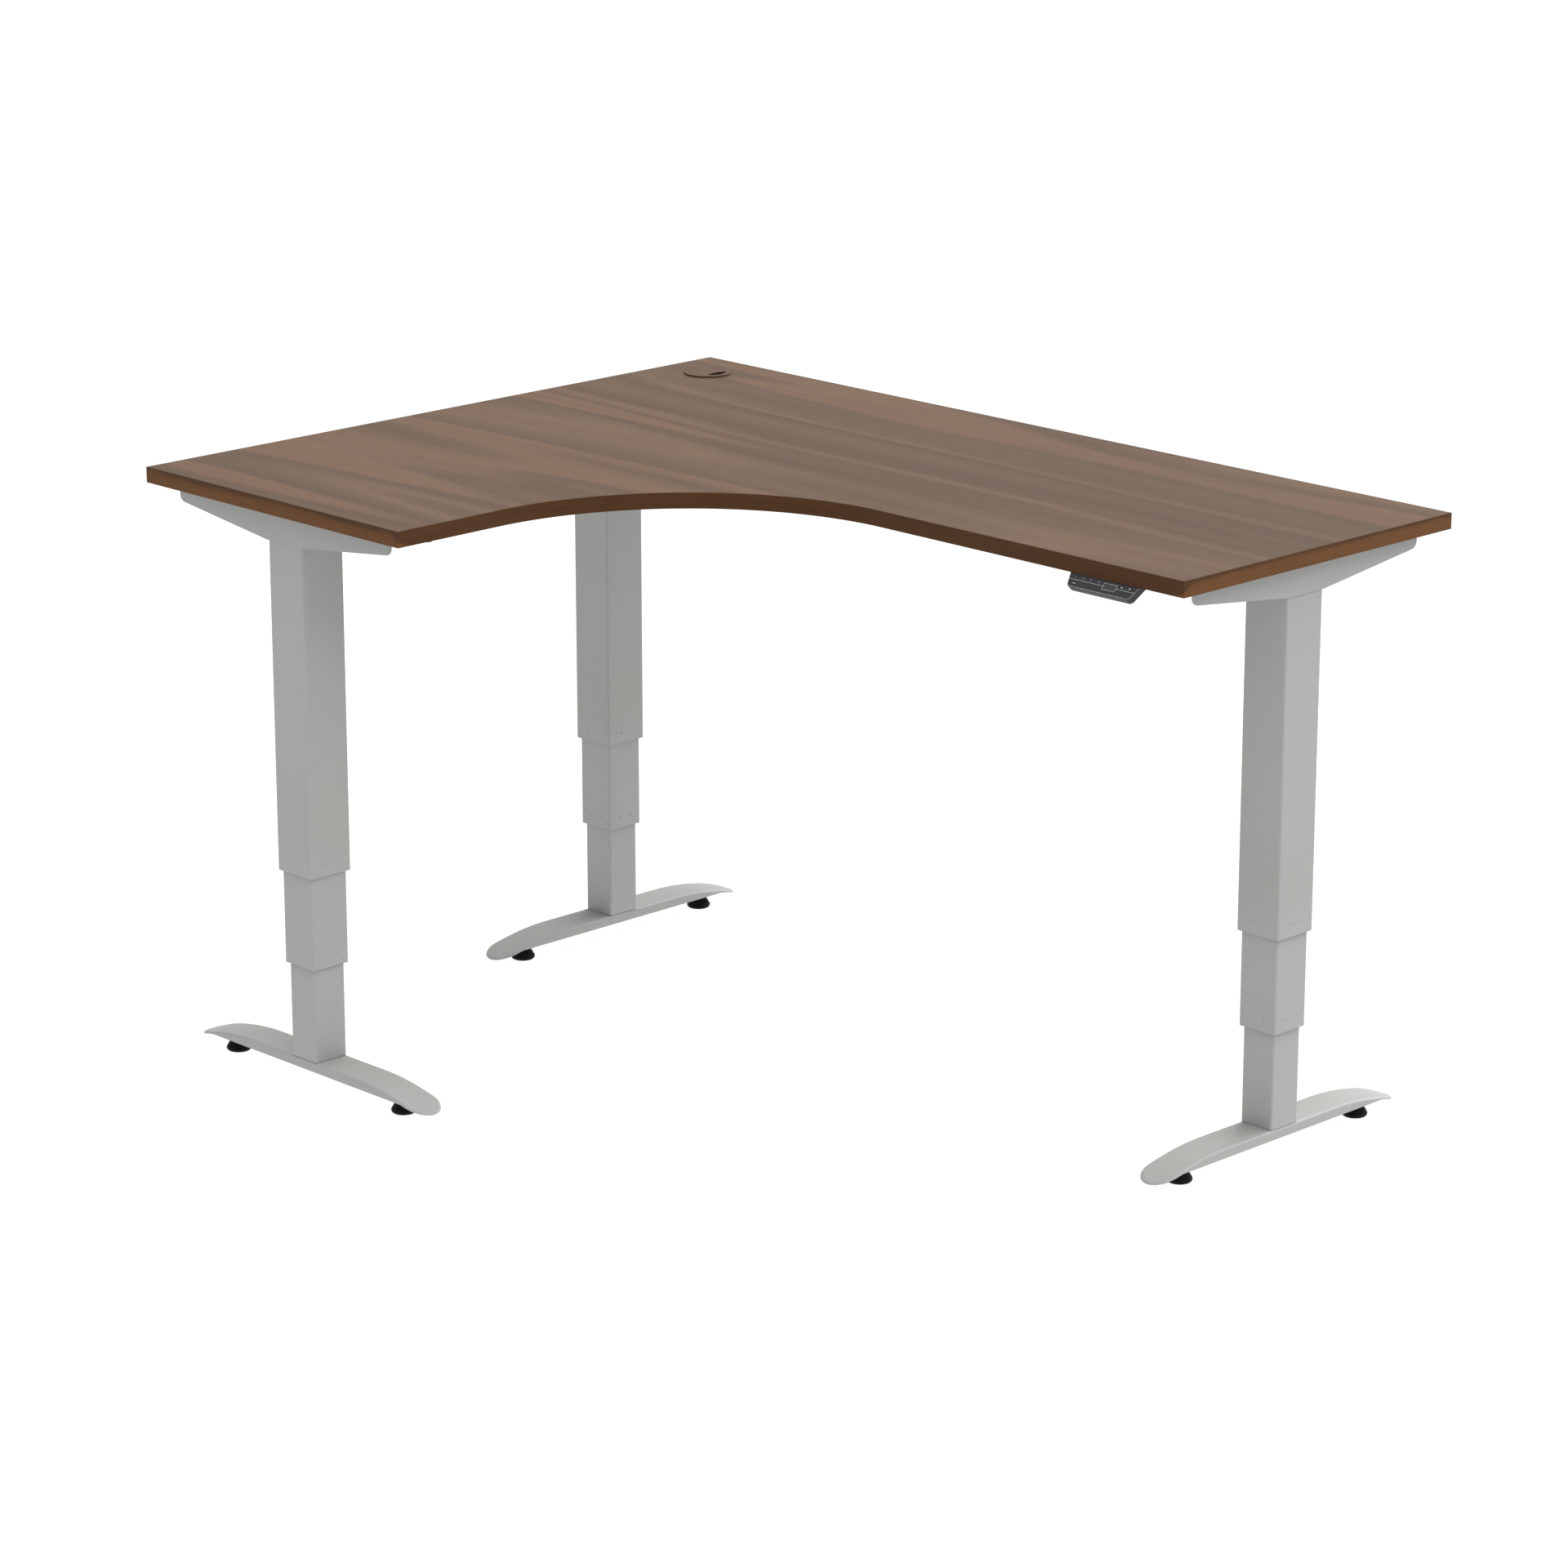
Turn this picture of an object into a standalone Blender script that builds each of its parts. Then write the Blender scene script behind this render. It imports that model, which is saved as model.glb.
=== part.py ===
"""Corner standing desk on three telescopic lifting columns, in metres, +Z up.

The origin is on the floor, under the middle of the desktop's bounding rectangle.
+X runs along the long back edge, +Y towards the back. The desk stands at 944 mm,
part of the way up its 650 to 1300 mm of travel.
"""
import math

import bmesh
import bpy
from mathutils import Matrix, Vector

# Desktop
DESK_LENGTH = 1.600
DESK_WIDTH = 1.200
WING_DEPTH = 0.600
BAY_RADIUS = 0.400
BAY_STEPS = 28
BOARD_THICKNESS = 0.025
DESK_TOP = 0.944
BAND_THICKNESS = 0.0017
GAP = 0.0003
UNDERSIDE = DESK_TOP - BOARD_THICKNESS
HANGING_TOP = UNDERSIDE - GAP

# Cable grommet in the back left corner
GROMMET_X = -DESK_LENGTH / 2 + 0.096
GROMMET_Y = DESK_WIDTH / 2 - 0.096
GROMMET_FLANGE_RADIUS = 0.0395
SLEEVE_RADIUS = 0.0340
SLEEVE_BORE = 0.0320
SLEEVE_FLANGE = 0.0010
REBATE_DEPTH = 0.0010
COVER_THICKNESS = 0.0017
COVER_BOSS = 0.0030
SLOT_OUTER_RADIUS = 0.0310
SLOT_INNER_RADIUS = 0.0335
SLOT_INNER_CENTRE = 0.0480
SLOT_STEPS = 12

# Columns: name, x, y, and the turn that lays local X along the foot
COLUMNS = (
    ("corner", -0.732, 0.300, math.radians(90)),
    ("right", 0.732, 0.300, math.radians(90)),
    ("wing", -0.500, -0.531, 0.0),
)
TUBE_WALL = 0.0018
TUBE_CORNER = 0.0034
OUTER_SIZE = 0.080
MIDDLE_SIZE = 0.070
INNER_SIZE = 0.060
OUTER_BOTTOM = 0.345
MIDDLE_BOTTOM = 0.195
MIDDLE_TOP = 0.685
INNER_TOP = 0.515
GLIDE_HEIGHT = 0.040
GLIDE_RECESS = 0.002

# Telescopic spindles
UPPER_SCREW_RADIUS = 0.0055
UPPER_SCREW_BOTTOM = 0.470
LOWER_SCREW_RADIUS = 0.0100
LOWER_SCREW_BORE = 0.0075
LOWER_SCREW_BOTTOM = 0.300
LOWER_SCREW_GAP = 0.001
NUT_HEIGHT = 0.012
NUT_CLEARANCE = 0.0003

# Support brackets: folded channels under the board
BRACKET_HALF_LENGTH = 0.2515
BRACKET_HALF_WIDTH = 0.0423
BRACKET_SHEET = 0.0020
BRACKET_DEPTH = 0.050
BRACKET_END_DEPTH = 0.0241
BRACKET_FLAT = 0.040
BRACKET_END_RADIUS = 0.012
BRACKET_BEND_RADIUS = 0.030
BRACKET_STEPS = 5
TUBE_OVERLAP = 0.0065

# Gear motors
GEARBOX_LENGTH = 0.076
GEARBOX_WIDTH = 0.078
GEARBOX_CORNER = 0.006
MOTOR_RADIUS = 0.0175
MOTOR_LENGTH = 0.080

# Feet and levelling pads
FOOT_HALF_LENGTH = 0.275
FOOT_WIDTH = 0.062
FOOT_TOP = 0.0415
FOOT_FLAT = 0.125
FOOT_ARC = 0.480
FOOT_ARC_STEPS = 10
FOOT_WALL_BOTTOM = 0.026
FOOT_PLATE = 0.0035
FOOT_TIP = 0.036
FOOT_TIP_STEPS = 12
PAD_OFFSET = 0.2025
PAD_RADIUS = 0.0200
PAD_RIM = 0.005
PAD_NECK = 0.0090
PAD_STEPS = 32
STUD_RADIUS = 0.0040
STUD_TOP = 0.0318
STUD_HOLE_TOP = 0.0322

# Rails under the board
RAIL_HEIGHT = 0.020
RAIL_WIDTH = 0.040
RAIL_WALL = 0.0015
RAIL_CORNER = 0.002
RAIL_OFFSET = 0.070
WING_RAIL_WIDTH = 0.060

# Control box
BOX_LENGTH = 0.280
BOX_WIDTH = 0.110
BOX_HEIGHT = 0.043
BOX_CORNER = 0.006
BOX_X = 0.260
BOX_Y = 0.460
INLET_WIDTH = 0.026
INLET_HEIGHT = 0.016
INLET_DEPTH = 0.014

# Handset: a slab tilted towards the user, hung under the front edge
HANDSET_X = 0.6495
HANDSET_DROP = 0.001
HANDSET_TILT = math.radians(45)
HANDSET_HALF_TOP = 0.0666
HANDSET_SIDE_SLOPE = 0.30
HANDSET_REACH = 0.0218
HANDSET_BACK = 0.014
HANDSET_CORNER = 0.008
HANDSET_CORNER_STEPS = 6
HANDSET_THICKNESS = 0.011
FACE_THICKNESS = 0.0007
FACE_MARGIN = 0.0008
HANDSET_ROOT = (0.060, 0.031, 0.014)
KEY_SIZE = (0.0108, 0.0054)
MEMORY_KEY_SIZE = (0.0100, 0.0042)
KEY_CORNER = 0.0012
KEY_TOP = 0.00015
KEY_BOTTOM = -0.0016
KEY_POCKET = 0.0024
KEY_ROW = -0.0043
KEYS = (
    ("key_1", -0.0525, KEY_ROW, KEY_SIZE),
    ("key_2", -0.0376, KEY_ROW, KEY_SIZE),
    ("key_3", -0.0227, KEY_ROW, KEY_SIZE),
    ("key_4", -0.0078, KEY_ROW, KEY_SIZE),
    ("key_up", 0.0361, KEY_ROW, KEY_SIZE),
    ("key_down", 0.0510, KEY_ROW, KEY_SIZE),
    ("key_memory", -0.0490, -0.0146, MEMORY_KEY_SIZE),
)
DISPLAY_X = 0.0152
DISPLAY_Y = -0.0086
DISPLAY_SIZE = (0.0234, 0.0094)

ROUND_STEPS = 40
SMALL_STEPS = 24
FAR = 1.0


def start_scene():
    for obj in list(bpy.data.objects):
        bpy.data.objects.remove(obj, do_unlink=True)
    collections = []
    for name in ("standing_desk", "cutters"):
        collection = bpy.data.collections.new(name)
        bpy.context.scene.collection.children.link(collection)
        collections.append(collection)
    return collections


PARTS, CUTTERS = start_scene()


def make_material(name, colour, roughness, metallic=0.0):
    material = bpy.data.materials.new(name)
    material.use_nodes = True
    shader = material.node_tree.nodes["Principled BSDF"]
    shader.inputs["Base Color"].default_value = (*colour, 1.0)
    shader.inputs["Roughness"].default_value = roughness
    shader.inputs["Metallic"].default_value = metallic
    return material


WALNUT = make_material("walnut_laminate", (0.227, 0.165, 0.130), 0.45)
EDGE = make_material("walnut_edge_band", (0.130, 0.065, 0.028), 0.50)
GROMMET = make_material("brown_plastic", (0.200, 0.140, 0.108), 0.50)
POWDER = make_material("grey_powder_coat", (0.400, 0.400, 0.385), 0.50)
STEEL = make_material("bright_steel", (0.550, 0.550, 0.560), 0.30, 1.0)
CAST = make_material("cast_aluminium", (0.420, 0.430, 0.440), 0.45, 1.0)
POLYMER = make_material("white_polymer", (0.700, 0.700, 0.670), 0.50)
GLIDE = make_material("grey_polymer", (0.120, 0.120, 0.120), 0.50)
PAD = make_material("black_polymer", (0.012, 0.012, 0.013), 0.55)
CASE = make_material("anthracite_plastic", (0.050, 0.048, 0.052), 0.50)
FACE = make_material("anthracite_overlay", (0.038, 0.035, 0.040), 0.40)
SCREEN = make_material("dark_display", (0.012, 0.012, 0.014), 0.15)


# Outlines and solids

def rounded(corners, steps):
    """A closed outline from (x, y, radius) corners, each rounded by an arc."""
    points = []
    for i, (x, y, radius) in enumerate(corners):
        here = Vector((x, y))
        if radius == 0:
            points.append(here)
            continue
        back = (Vector(corners[i - 1][:2]) - here).normalized()
        ahead = (Vector(corners[(i + 1) % len(corners)][:2]) - here).normalized()
        half = back.angle(ahead) / 2
        centre = here + (back + ahead).normalized() * radius / math.sin(half)
        first = here + back * radius / math.tan(half) - centre
        last = here + ahead * radius / math.tan(half) - centre
        sweep = first.angle_signed(last)
        for step in range(steps + 1):
            turn = Matrix.Rotation(-sweep * step / steps, 2)
            points.append(centre + turn @ first)
    return points


def rectangle(width, height, radius=0.0, steps=3):
    x, y = width / 2, height / 2
    corners = ((x, y, radius), (-x, y, radius), (-x, -y, radius), (x, -y, radius))
    return rounded(corners, steps)


def circle(radius, steps):
    angles = (math.tau * step / steps for step in range(steps))
    return [Vector((radius * math.cos(a), radius * math.sin(a))) for a in angles]


def prism(name, outlines, low, high):
    """A mesh with flat ends at the heights low and high; outlines after the first are holes."""
    curve = bpy.data.curves.new(name, "CURVE")
    curve.dimensions = "2D"
    curve.fill_mode = "BOTH"
    curve.extrude = (high - low) / 2
    for outline in outlines:
        spline = curve.splines.new("POLY")
        spline.points.add(len(outline) - 1)
        for point, place in zip(spline.points, outline):
            point.co = (place.x, place.y, 0.0, 1.0)
        spline.use_cyclic_u = True
    guide = bpy.data.objects.new(name, curve)
    PARTS.objects.link(guide)
    mesh = baked(guide)
    mesh.transform(Matrix.Translation((0.0, 0.0, (low + high) / 2)))
    return closed(mesh)


def closed(mesh):
    """Welds the loose caps that a filled curve has."""
    work = bmesh.new()
    work.from_mesh(mesh)
    bmesh.ops.remove_doubles(work, verts=work.verts, dist=0.000002)
    bmesh.ops.recalc_face_normals(work, faces=work.faces)
    work.to_mesh(mesh)
    work.free()
    return mesh


def on_side(mesh, width):
    """Stands a flat outline up, so that its Y becomes Z, and centres its thickness on Y."""
    mesh.transform(Matrix.Rotation(math.radians(90), 4, "X"))
    mesh.transform(Matrix.Translation((0.0, width / 2, 0.0)))
    return mesh


def box(name, low, high):
    work = bmesh.new()
    bmesh.ops.create_cube(work, size=1.0)
    mesh = bpy.data.meshes.new(name)
    work.to_mesh(mesh)
    work.free()
    size = Vector(high) - Vector(low)
    centre = (Vector(high) + Vector(low)) / 2
    mesh.transform(Matrix.Translation(centre) @ Matrix.Diagonal((*size, 1.0)))
    return mesh


def cylinder(name, radius, low, high, steps=SMALL_STEPS):
    work = bmesh.new()
    bmesh.ops.create_cone(
        work, cap_ends=True, segments=steps, radius1=radius, radius2=radius, depth=high - low
    )
    mesh = bpy.data.meshes.new(name)
    work.to_mesh(mesh)
    work.free()
    mesh.transform(Matrix.Translation((0.0, 0.0, (low + high) / 2)))
    return mesh


def turned(name, profile, steps=ROUND_STEPS):
    """Turns (radius, height) points, listed down the outer side, about Z."""
    mesh = bpy.data.meshes.new(name)
    mesh.from_pydata([(radius, 0.0, height) for radius, height in profile], [], [])
    mesh.edges.add(len(profile) - 1)
    for index, edge in enumerate(mesh.edges):
        edge.vertices = (index, index + 1)
    obj = bpy.data.objects.new(name, mesh)
    CUTTERS.objects.link(obj)
    screw = obj.modifiers.new("turn", "SCREW")
    screw.steps = steps
    screw.render_steps = steps
    screw.use_merge_vertices = True
    screw.merge_threshold = 0.00001
    return closed(baked(obj))


def baked(obj):
    """The evaluated mesh of an object, which is then removed."""
    evaluated = obj.evaluated_get(bpy.context.evaluated_depsgraph_get())
    mesh = bpy.data.meshes.new_from_object(evaluated)
    bpy.data.objects.remove(obj)
    mesh.materials.clear()
    return mesh


def combined(mesh, *steps):
    """Applies (operation, tool mesh) Booleans to a mesh and returns the result."""
    obj = bpy.data.objects.new("blank", mesh)
    CUTTERS.objects.link(obj)
    tools = []
    for operation, tool_mesh in steps:
        tool = bpy.data.objects.new("cutter", tool_mesh)
        tool.hide_render = True
        tool.display_type = "WIRE"
        CUTTERS.objects.link(tool)
        tools.append(tool)
        boolean = obj.modifiers.new(operation.lower(), "BOOLEAN")
        boolean.operation = operation
        boolean.object = tool
    result = baked(obj)
    for tool in tools:
        bpy.data.objects.remove(tool)
    return result


def add_part(name, mesh, material, parent=None, location=(0.0, 0.0, 0.0), smooth=False):
    if not mesh.materials:
        mesh.materials.append(material)
    if smooth:
        mesh.shade_smooth()
        mesh.set_sharp_from_angle(angle=math.radians(35))
    obj = bpy.data.objects.new(name, mesh)
    obj.location = location
    obj.parent = parent
    PARTS.objects.link(obj)
    return obj


def add_empty(name, location, rotation=(0.0, 0.0, 0.0)):
    empty = bpy.data.objects.new(name, None)
    empty.location = location
    empty.rotation_euler = rotation
    PARTS.objects.link(empty)
    return empty


# Desktop

def desk_outline(inset):
    """The L with its round bay, moved inwards by inset."""
    right = DESK_LENGTH / 2 - inset
    back = DESK_WIDTH / 2 - inset
    front = -DESK_WIDTH / 2 + inset
    bay_x = -DESK_LENGTH / 2 + WING_DEPTH + BAY_RADIUS
    bay_y = DESK_WIDTH / 2 - WING_DEPTH - BAY_RADIUS
    radius = BAY_RADIUS + inset
    points = [Vector((-right, back)), Vector((-right, front)), Vector((bay_x - radius, front))]
    for step in range(BAY_STEPS + 1):
        angle = math.pi - math.pi / 2 * step / BAY_STEPS
        points.append(Vector((bay_x + radius * math.cos(angle), bay_y + radius * math.sin(angle))))
    points.append(Vector((right, bay_y + radius)))
    points.append(Vector((right, back)))
    return points


def build_desktop():
    centre = Vector((GROMMET_X, GROMMET_Y))
    hole = [centre + point for point in circle(SLEEVE_RADIUS + GAP, ROUND_STEPS)]
    board = prism("tabletop", [desk_outline(BAND_THICKNESS + GAP), hole], UNDERSIDE, DESK_TOP)
    rebate = cylinder("rebate", GROMMET_FLANGE_RADIUS + GAP, -REBATE_DEPTH, REBATE_DEPTH, ROUND_STEPS)
    rebate.transform(Matrix.Translation((GROMMET_X, GROMMET_Y, DESK_TOP)))
    add_part("tabletop", combined(board, ("DIFFERENCE", rebate)), WALNUT)
    band = prism("edge_band", [desk_outline(0.0), desk_outline(BAND_THICKNESS)], UNDERSIDE, DESK_TOP)
    add_part("edge_band", band, EDGE)


def slot_outline():
    """A lens between two arcs, close to the cover's +X rim."""
    outer, inner, centre = SLOT_OUTER_RADIUS, SLOT_INNER_RADIUS, SLOT_INNER_CENTRE
    cross = (centre ** 2 + outer ** 2 - inner ** 2) / (2 * centre)
    outer_half = math.acos(cross / outer)
    inner_half = math.acos((centre - cross) / inner)
    points = []
    for step in range(SLOT_STEPS):
        angle = -outer_half + 2 * outer_half * step / SLOT_STEPS
        points.append(Vector((outer * math.cos(angle), outer * math.sin(angle))))
    for step in range(SLOT_STEPS):
        angle = inner_half - 2 * inner_half * step / SLOT_STEPS
        points.append(Vector((centre - inner * math.cos(angle), inner * math.sin(angle))))
    return points


def build_grommet():
    place = add_empty("grommet_axis", (GROMMET_X, GROMMET_Y, 0.0))
    seat = DESK_TOP - REBATE_DEPTH + GAP
    rim = DESK_TOP + GAP + SLEEVE_FLANGE
    sleeve = turned("grommet_sleeve", (
        (SLEEVE_BORE, rim),
        (GROMMET_FLANGE_RADIUS, rim),
        (GROMMET_FLANGE_RADIUS, seat),
        (SLEEVE_RADIUS, seat),
        (SLEEVE_RADIUS, UNDERSIDE),
        (SLEEVE_BORE, UNDERSIDE),
        (SLEEVE_BORE, rim),
    ))
    add_part("grommet_sleeve", sleeve, GROMMET, place, smooth=True)
    bottom = rim + GAP
    top = bottom + COVER_THICKNESS
    boss = SLEEVE_BORE - GAP
    disc = turned("grommet_cover", (
        (0.0, top),
        (GROMMET_FLANGE_RADIUS, top),
        (GROMMET_FLANGE_RADIUS, bottom),
        (boss, bottom),
        (boss, bottom - COVER_BOSS),
        (0.0, bottom - COVER_BOSS),
    ))
    slot = prism("cable_slot", [slot_outline()], bottom - 2 * COVER_BOSS, top + COVER_BOSS)
    add_part("grommet_cover", combined(disc, ("DIFFERENCE", slot)), GROMMET, place, smooth=True)


# Columns

def square_tube(name, size, wall, low, high, corner=TUBE_CORNER):
    bore = size - 2 * wall
    outlines = [rectangle(size, size, corner), rectangle(bore, bore, corner - wall)]
    return prism(name, outlines, low, high)


def glide(name, tube_size, inside_size, low):
    """A plastic sleeve that fills the space between two tubes, clear of both."""
    outer = tube_size - 2 * TUBE_WALL - 2 * GAP
    bore = inside_size + 2 * GAP
    outlines = [rectangle(outer, outer, TUBE_CORNER - TUBE_WALL), rectangle(bore, bore, TUBE_CORNER)]
    return prism(name, outlines, low + GLIDE_RECESS, low + GLIDE_RECESS + GLIDE_HEIGHT)


def nut(name, tube_size, screw_radius, top):
    """A square plug in the top of a tube, with the spindle's bore through it."""
    side = tube_size - 2 * TUBE_WALL - 2 * GAP
    bore = circle(screw_radius + NUT_CLEARANCE, SMALL_STEPS)
    outlines = [rectangle(side, side, TUBE_CORNER - TUBE_WALL), bore]
    return prism(name, outlines, top - NUT_HEIGHT, top)


def gear_motor(tube_top):
    low = tube_top + GAP
    high = HANGING_TOP - BRACKET_SHEET - GAP
    outline = rectangle(GEARBOX_LENGTH, GEARBOX_WIDTH, GEARBOX_CORNER)
    housing = prism("gear_motor", [outline], low, high)
    start = GEARBOX_LENGTH / 4
    can = cylinder("motor_can", MOTOR_RADIUS, start, 2 * start + MOTOR_LENGTH, ROUND_STEPS)
    can.transform(Matrix.Rotation(math.radians(90), 4, "Y"))
    can.transform(Matrix.Translation((0.0, 0.0, (low + high) / 2)))
    return combined(housing, ("UNION", can))


def bracket():
    """A channel with its web up against the board and tapering flanges down each side."""
    top = HANGING_TOP
    low = UNDERSIDE - BRACKET_DEPTH
    end_low = UNDERSIDE - BRACKET_END_DEPTH
    length = BRACKET_HALF_LENGTH
    outline = rounded((
        (length, top, 0.0),
        (-length, top, 0.0),
        (-length, end_low, BRACKET_END_RADIUS),
        (-BRACKET_FLAT, low, BRACKET_BEND_RADIUS),
        (BRACKET_FLAT, low, BRACKET_BEND_RADIUS),
        (length, end_low, BRACKET_END_RADIUS),
    ), BRACKET_STEPS)
    width = 2 * BRACKET_HALF_WIDTH
    side = on_side(prism("bracket", [outline], 0.0, width), width)
    inside = BRACKET_HALF_WIDTH - BRACKET_SHEET
    hollow = box("channel", (-FAR, -inside, 0.0), (FAR, inside, top - BRACKET_SHEET))
    return combined(side, ("DIFFERENCE", hollow))


# Feet

def foot_height(x):
    """Top of the foot: flat round the column, then falling along an arc to each tip."""
    past = max(abs(x) - FOOT_FLAT, 0.0)
    return FOOT_TOP - (FOOT_ARC - math.sqrt(FOOT_ARC ** 2 - past ** 2))


def foot_underside(x):
    """Underside of the foot: level until the falling tip would be thinner than its plate."""
    return min(FOOT_WALL_BOTTOM, foot_height(x) - FOOT_PLATE)


def foot_plan():
    """The foot from above: straight sides and half-elliptical tips."""
    start = FOOT_HALF_LENGTH - FOOT_TIP
    points = []
    for side in (1, -1):
        for step in range(FOOT_TIP_STEPS + 1):
            angle = math.pi * (step / FOOT_TIP_STEPS - 0.5)
            x = start + FOOT_TIP * math.cos(angle)
            y = FOOT_WIDTH / 2 * math.sin(angle)
            points.append(Vector((side * x, side * y)))
    return points


def foot_beam():
    reach = FOOT_HALF_LENGTH - FOOT_FLAT
    right = [FOOT_FLAT + reach * step / FOOT_ARC_STEPS for step in range(FOOT_ARC_STEPS + 1)]
    stations = [-x for x in reversed(right)] + right
    outline = [Vector((x, foot_height(x))) for x in stations]
    outline += [Vector((x, foot_underside(x))) for x in reversed(stations)]
    side = on_side(prism("foot_side", [outline], 0.0, 2 * FOOT_WIDTH), 2 * FOOT_WIDTH)
    steps = [("INTERSECT", prism("foot_plan", [foot_plan()], -FOOT_TOP, 2 * FOOT_TOP))]
    for place in (-PAD_OFFSET, PAD_OFFSET):
        hole = cylinder("stud_hole", STUD_RADIUS + GAP, 0.0, STUD_HOLE_TOP)
        hole.transform(Matrix.Translation((place, 0.0, 0.0)))
        steps.append(("DIFFERENCE", hole))
    return combined(side, *steps)


def levelling_pad():
    neck_top = FOOT_WALL_BOTTOM - GAP
    return turned("levelling_pad", (
        (0.0, STUD_TOP),
        (STUD_RADIUS, STUD_TOP),
        (STUD_RADIUS, neck_top),
        (PAD_NECK, neck_top),
        (PAD_RADIUS, PAD_RIM),
        (PAD_RADIUS, 0.0),
        (0.0, 0.0),
    ), PAD_STEPS)


def spindles(tube_top):
    """The solid upper screw, and the hollow lower screw that it runs down into."""
    upper = cylinder("upper_screw", UPPER_SCREW_RADIUS, UPPER_SCREW_BOTTOM, tube_top)
    outlines = [circle(LOWER_SCREW_RADIUS, SMALL_STEPS), circle(LOWER_SCREW_BORE, SMALL_STEPS)]
    lower_top = MIDDLE_TOP - NUT_HEIGHT - LOWER_SCREW_GAP
    lower = prism("lower_screw", outlines, LOWER_SCREW_BOTTOM, lower_top)
    return upper, lower


def build_columns():
    tube_top = UNDERSIDE - BRACKET_DEPTH + TUBE_OVERLAP
    inner_bottom = FOOT_TOP + GAP
    outer_tube = square_tube("outer_tube", OUTER_SIZE, TUBE_WALL, OUTER_BOTTOM, tube_top)
    middle_tube = square_tube("middle_tube", MIDDLE_SIZE, TUBE_WALL, MIDDLE_BOTTOM, MIDDLE_TOP)
    inner_tube = square_tube("inner_tube", INNER_SIZE, TUBE_WALL, inner_bottom, INNER_TOP)
    upper_screw, lower_screw = spindles(tube_top)
    pieces = (
        ("support_bracket", bracket(), POWDER, False),
        ("gear_motor", gear_motor(tube_top), CAST, True),
        ("outer_tube", outer_tube, POWDER, True),
        ("outer_glide", glide("outer_glide", OUTER_SIZE, MIDDLE_SIZE, OUTER_BOTTOM), GLIDE, True),
        ("middle_tube", middle_tube, POWDER, True),
        ("middle_glide", glide("middle_glide", MIDDLE_SIZE, INNER_SIZE, MIDDLE_BOTTOM), GLIDE, True),
        ("inner_tube", inner_tube, POWDER, True),
        ("upper_nut", nut("upper_nut", MIDDLE_SIZE, UPPER_SCREW_RADIUS, MIDDLE_TOP), POLYMER, True),
        ("lower_nut", nut("lower_nut", INNER_SIZE, LOWER_SCREW_RADIUS, INNER_TOP), POLYMER, True),
        ("upper_screw", upper_screw, STEEL, True),
        ("lower_screw", lower_screw, STEEL, True),
        ("foot_beam", foot_beam(), POWDER, False),
    )
    pad = levelling_pad()
    for column, x, y, turn in COLUMNS:
        place = add_empty(f"column_{column}", (x, y, 0.0), (0.0, 0.0, turn))
        for name, mesh, material, smooth in pieces:
            add_part(f"{name}_{column}", mesh, material, place, smooth=smooth)
        for side, offset in (("a", -PAD_OFFSET), ("b", PAD_OFFSET)):
            name = f"levelling_pad_{column}_{side}"
            add_part(name, pad, PAD, place, (offset, 0.0, 0.0), smooth=True)


# Rails and control box

def rail(name, width, length):
    """A rectangular tube along local X, centred, with its top at HANGING_TOP."""
    outer = rectangle(width, RAIL_HEIGHT, RAIL_CORNER)
    bore = rectangle(width - 2 * RAIL_WALL, RAIL_HEIGHT - 2 * RAIL_WALL)
    mesh = prism(name, [outer, bore], -length / 2, length / 2)
    mesh.transform(Matrix.Rotation(math.radians(90), 4, "X"))
    mesh.transform(Matrix.Rotation(math.radians(90), 4, "Z"))
    mesh.transform(Matrix.Translation((0.0, 0.0, HANGING_TOP - RAIL_HEIGHT / 2)))
    return mesh


def build_rails():
    corner, right, wing = COLUMNS
    between = right[1] - corner[1] - 2 * (BRACKET_HALF_WIDTH + GAP)
    middle = (right[1] + corner[1]) / 2
    for name, side in (("main_rail_front", -1), ("main_rail_back", 1)):
        mesh = rail(name, RAIL_WIDTH, between)
        add_part(name, mesh, POWDER, location=(middle, corner[2] + side * RAIL_OFFSET, 0.0))
    start = wing[2] + BRACKET_HALF_WIDTH + GAP
    end = corner[2] - RAIL_OFFSET - RAIL_WIDTH / 2 - GAP
    mesh = rail("wing_rail", WING_RAIL_WIDTH, end - start)
    mesh.transform(Matrix.Rotation(math.radians(90), 4, "Z"))
    add_part("wing_rail", mesh, POWDER, location=(wing[1], (start + end) / 2, 0.0))


def build_control_box():
    low = HANGING_TOP - BOX_HEIGHT
    body = prism("control_box", [rectangle(BOX_LENGTH, BOX_WIDTH, BOX_CORNER)], low, HANGING_TOP)
    inlet_low = low + (BOX_HEIGHT - INLET_HEIGHT) / 2
    inlet = box(
        "mains_inlet",
        (-BOX_LENGTH, -INLET_WIDTH / 2, inlet_low),
        (-BOX_LENGTH / 2 + INLET_DEPTH, INLET_WIDTH / 2, inlet_low + INLET_HEIGHT),
    )
    mesh = combined(body, ("DIFFERENCE", inlet))
    add_part("control_box", mesh, CASE, location=(BOX_X, BOX_Y, 0.0))


# Handset, in its own frame: local Y up the tilted face, local Z out of it

def handset_outline(inset):
    top_half = HANDSET_HALF_TOP + HANDSET_SIDE_SLOPE * HANDSET_BACK - inset
    low_half = HANDSET_HALF_TOP - HANDSET_SIDE_SLOPE * HANDSET_REACH - inset
    low = -HANDSET_REACH + inset
    return rounded((
        (top_half, HANDSET_BACK, 0.0),
        (-top_half, HANDSET_BACK, 0.0),
        (-low_half, low, HANDSET_CORNER),
        (low_half, low, HANDSET_CORNER),
    ), HANDSET_CORNER_STEPS)


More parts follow.
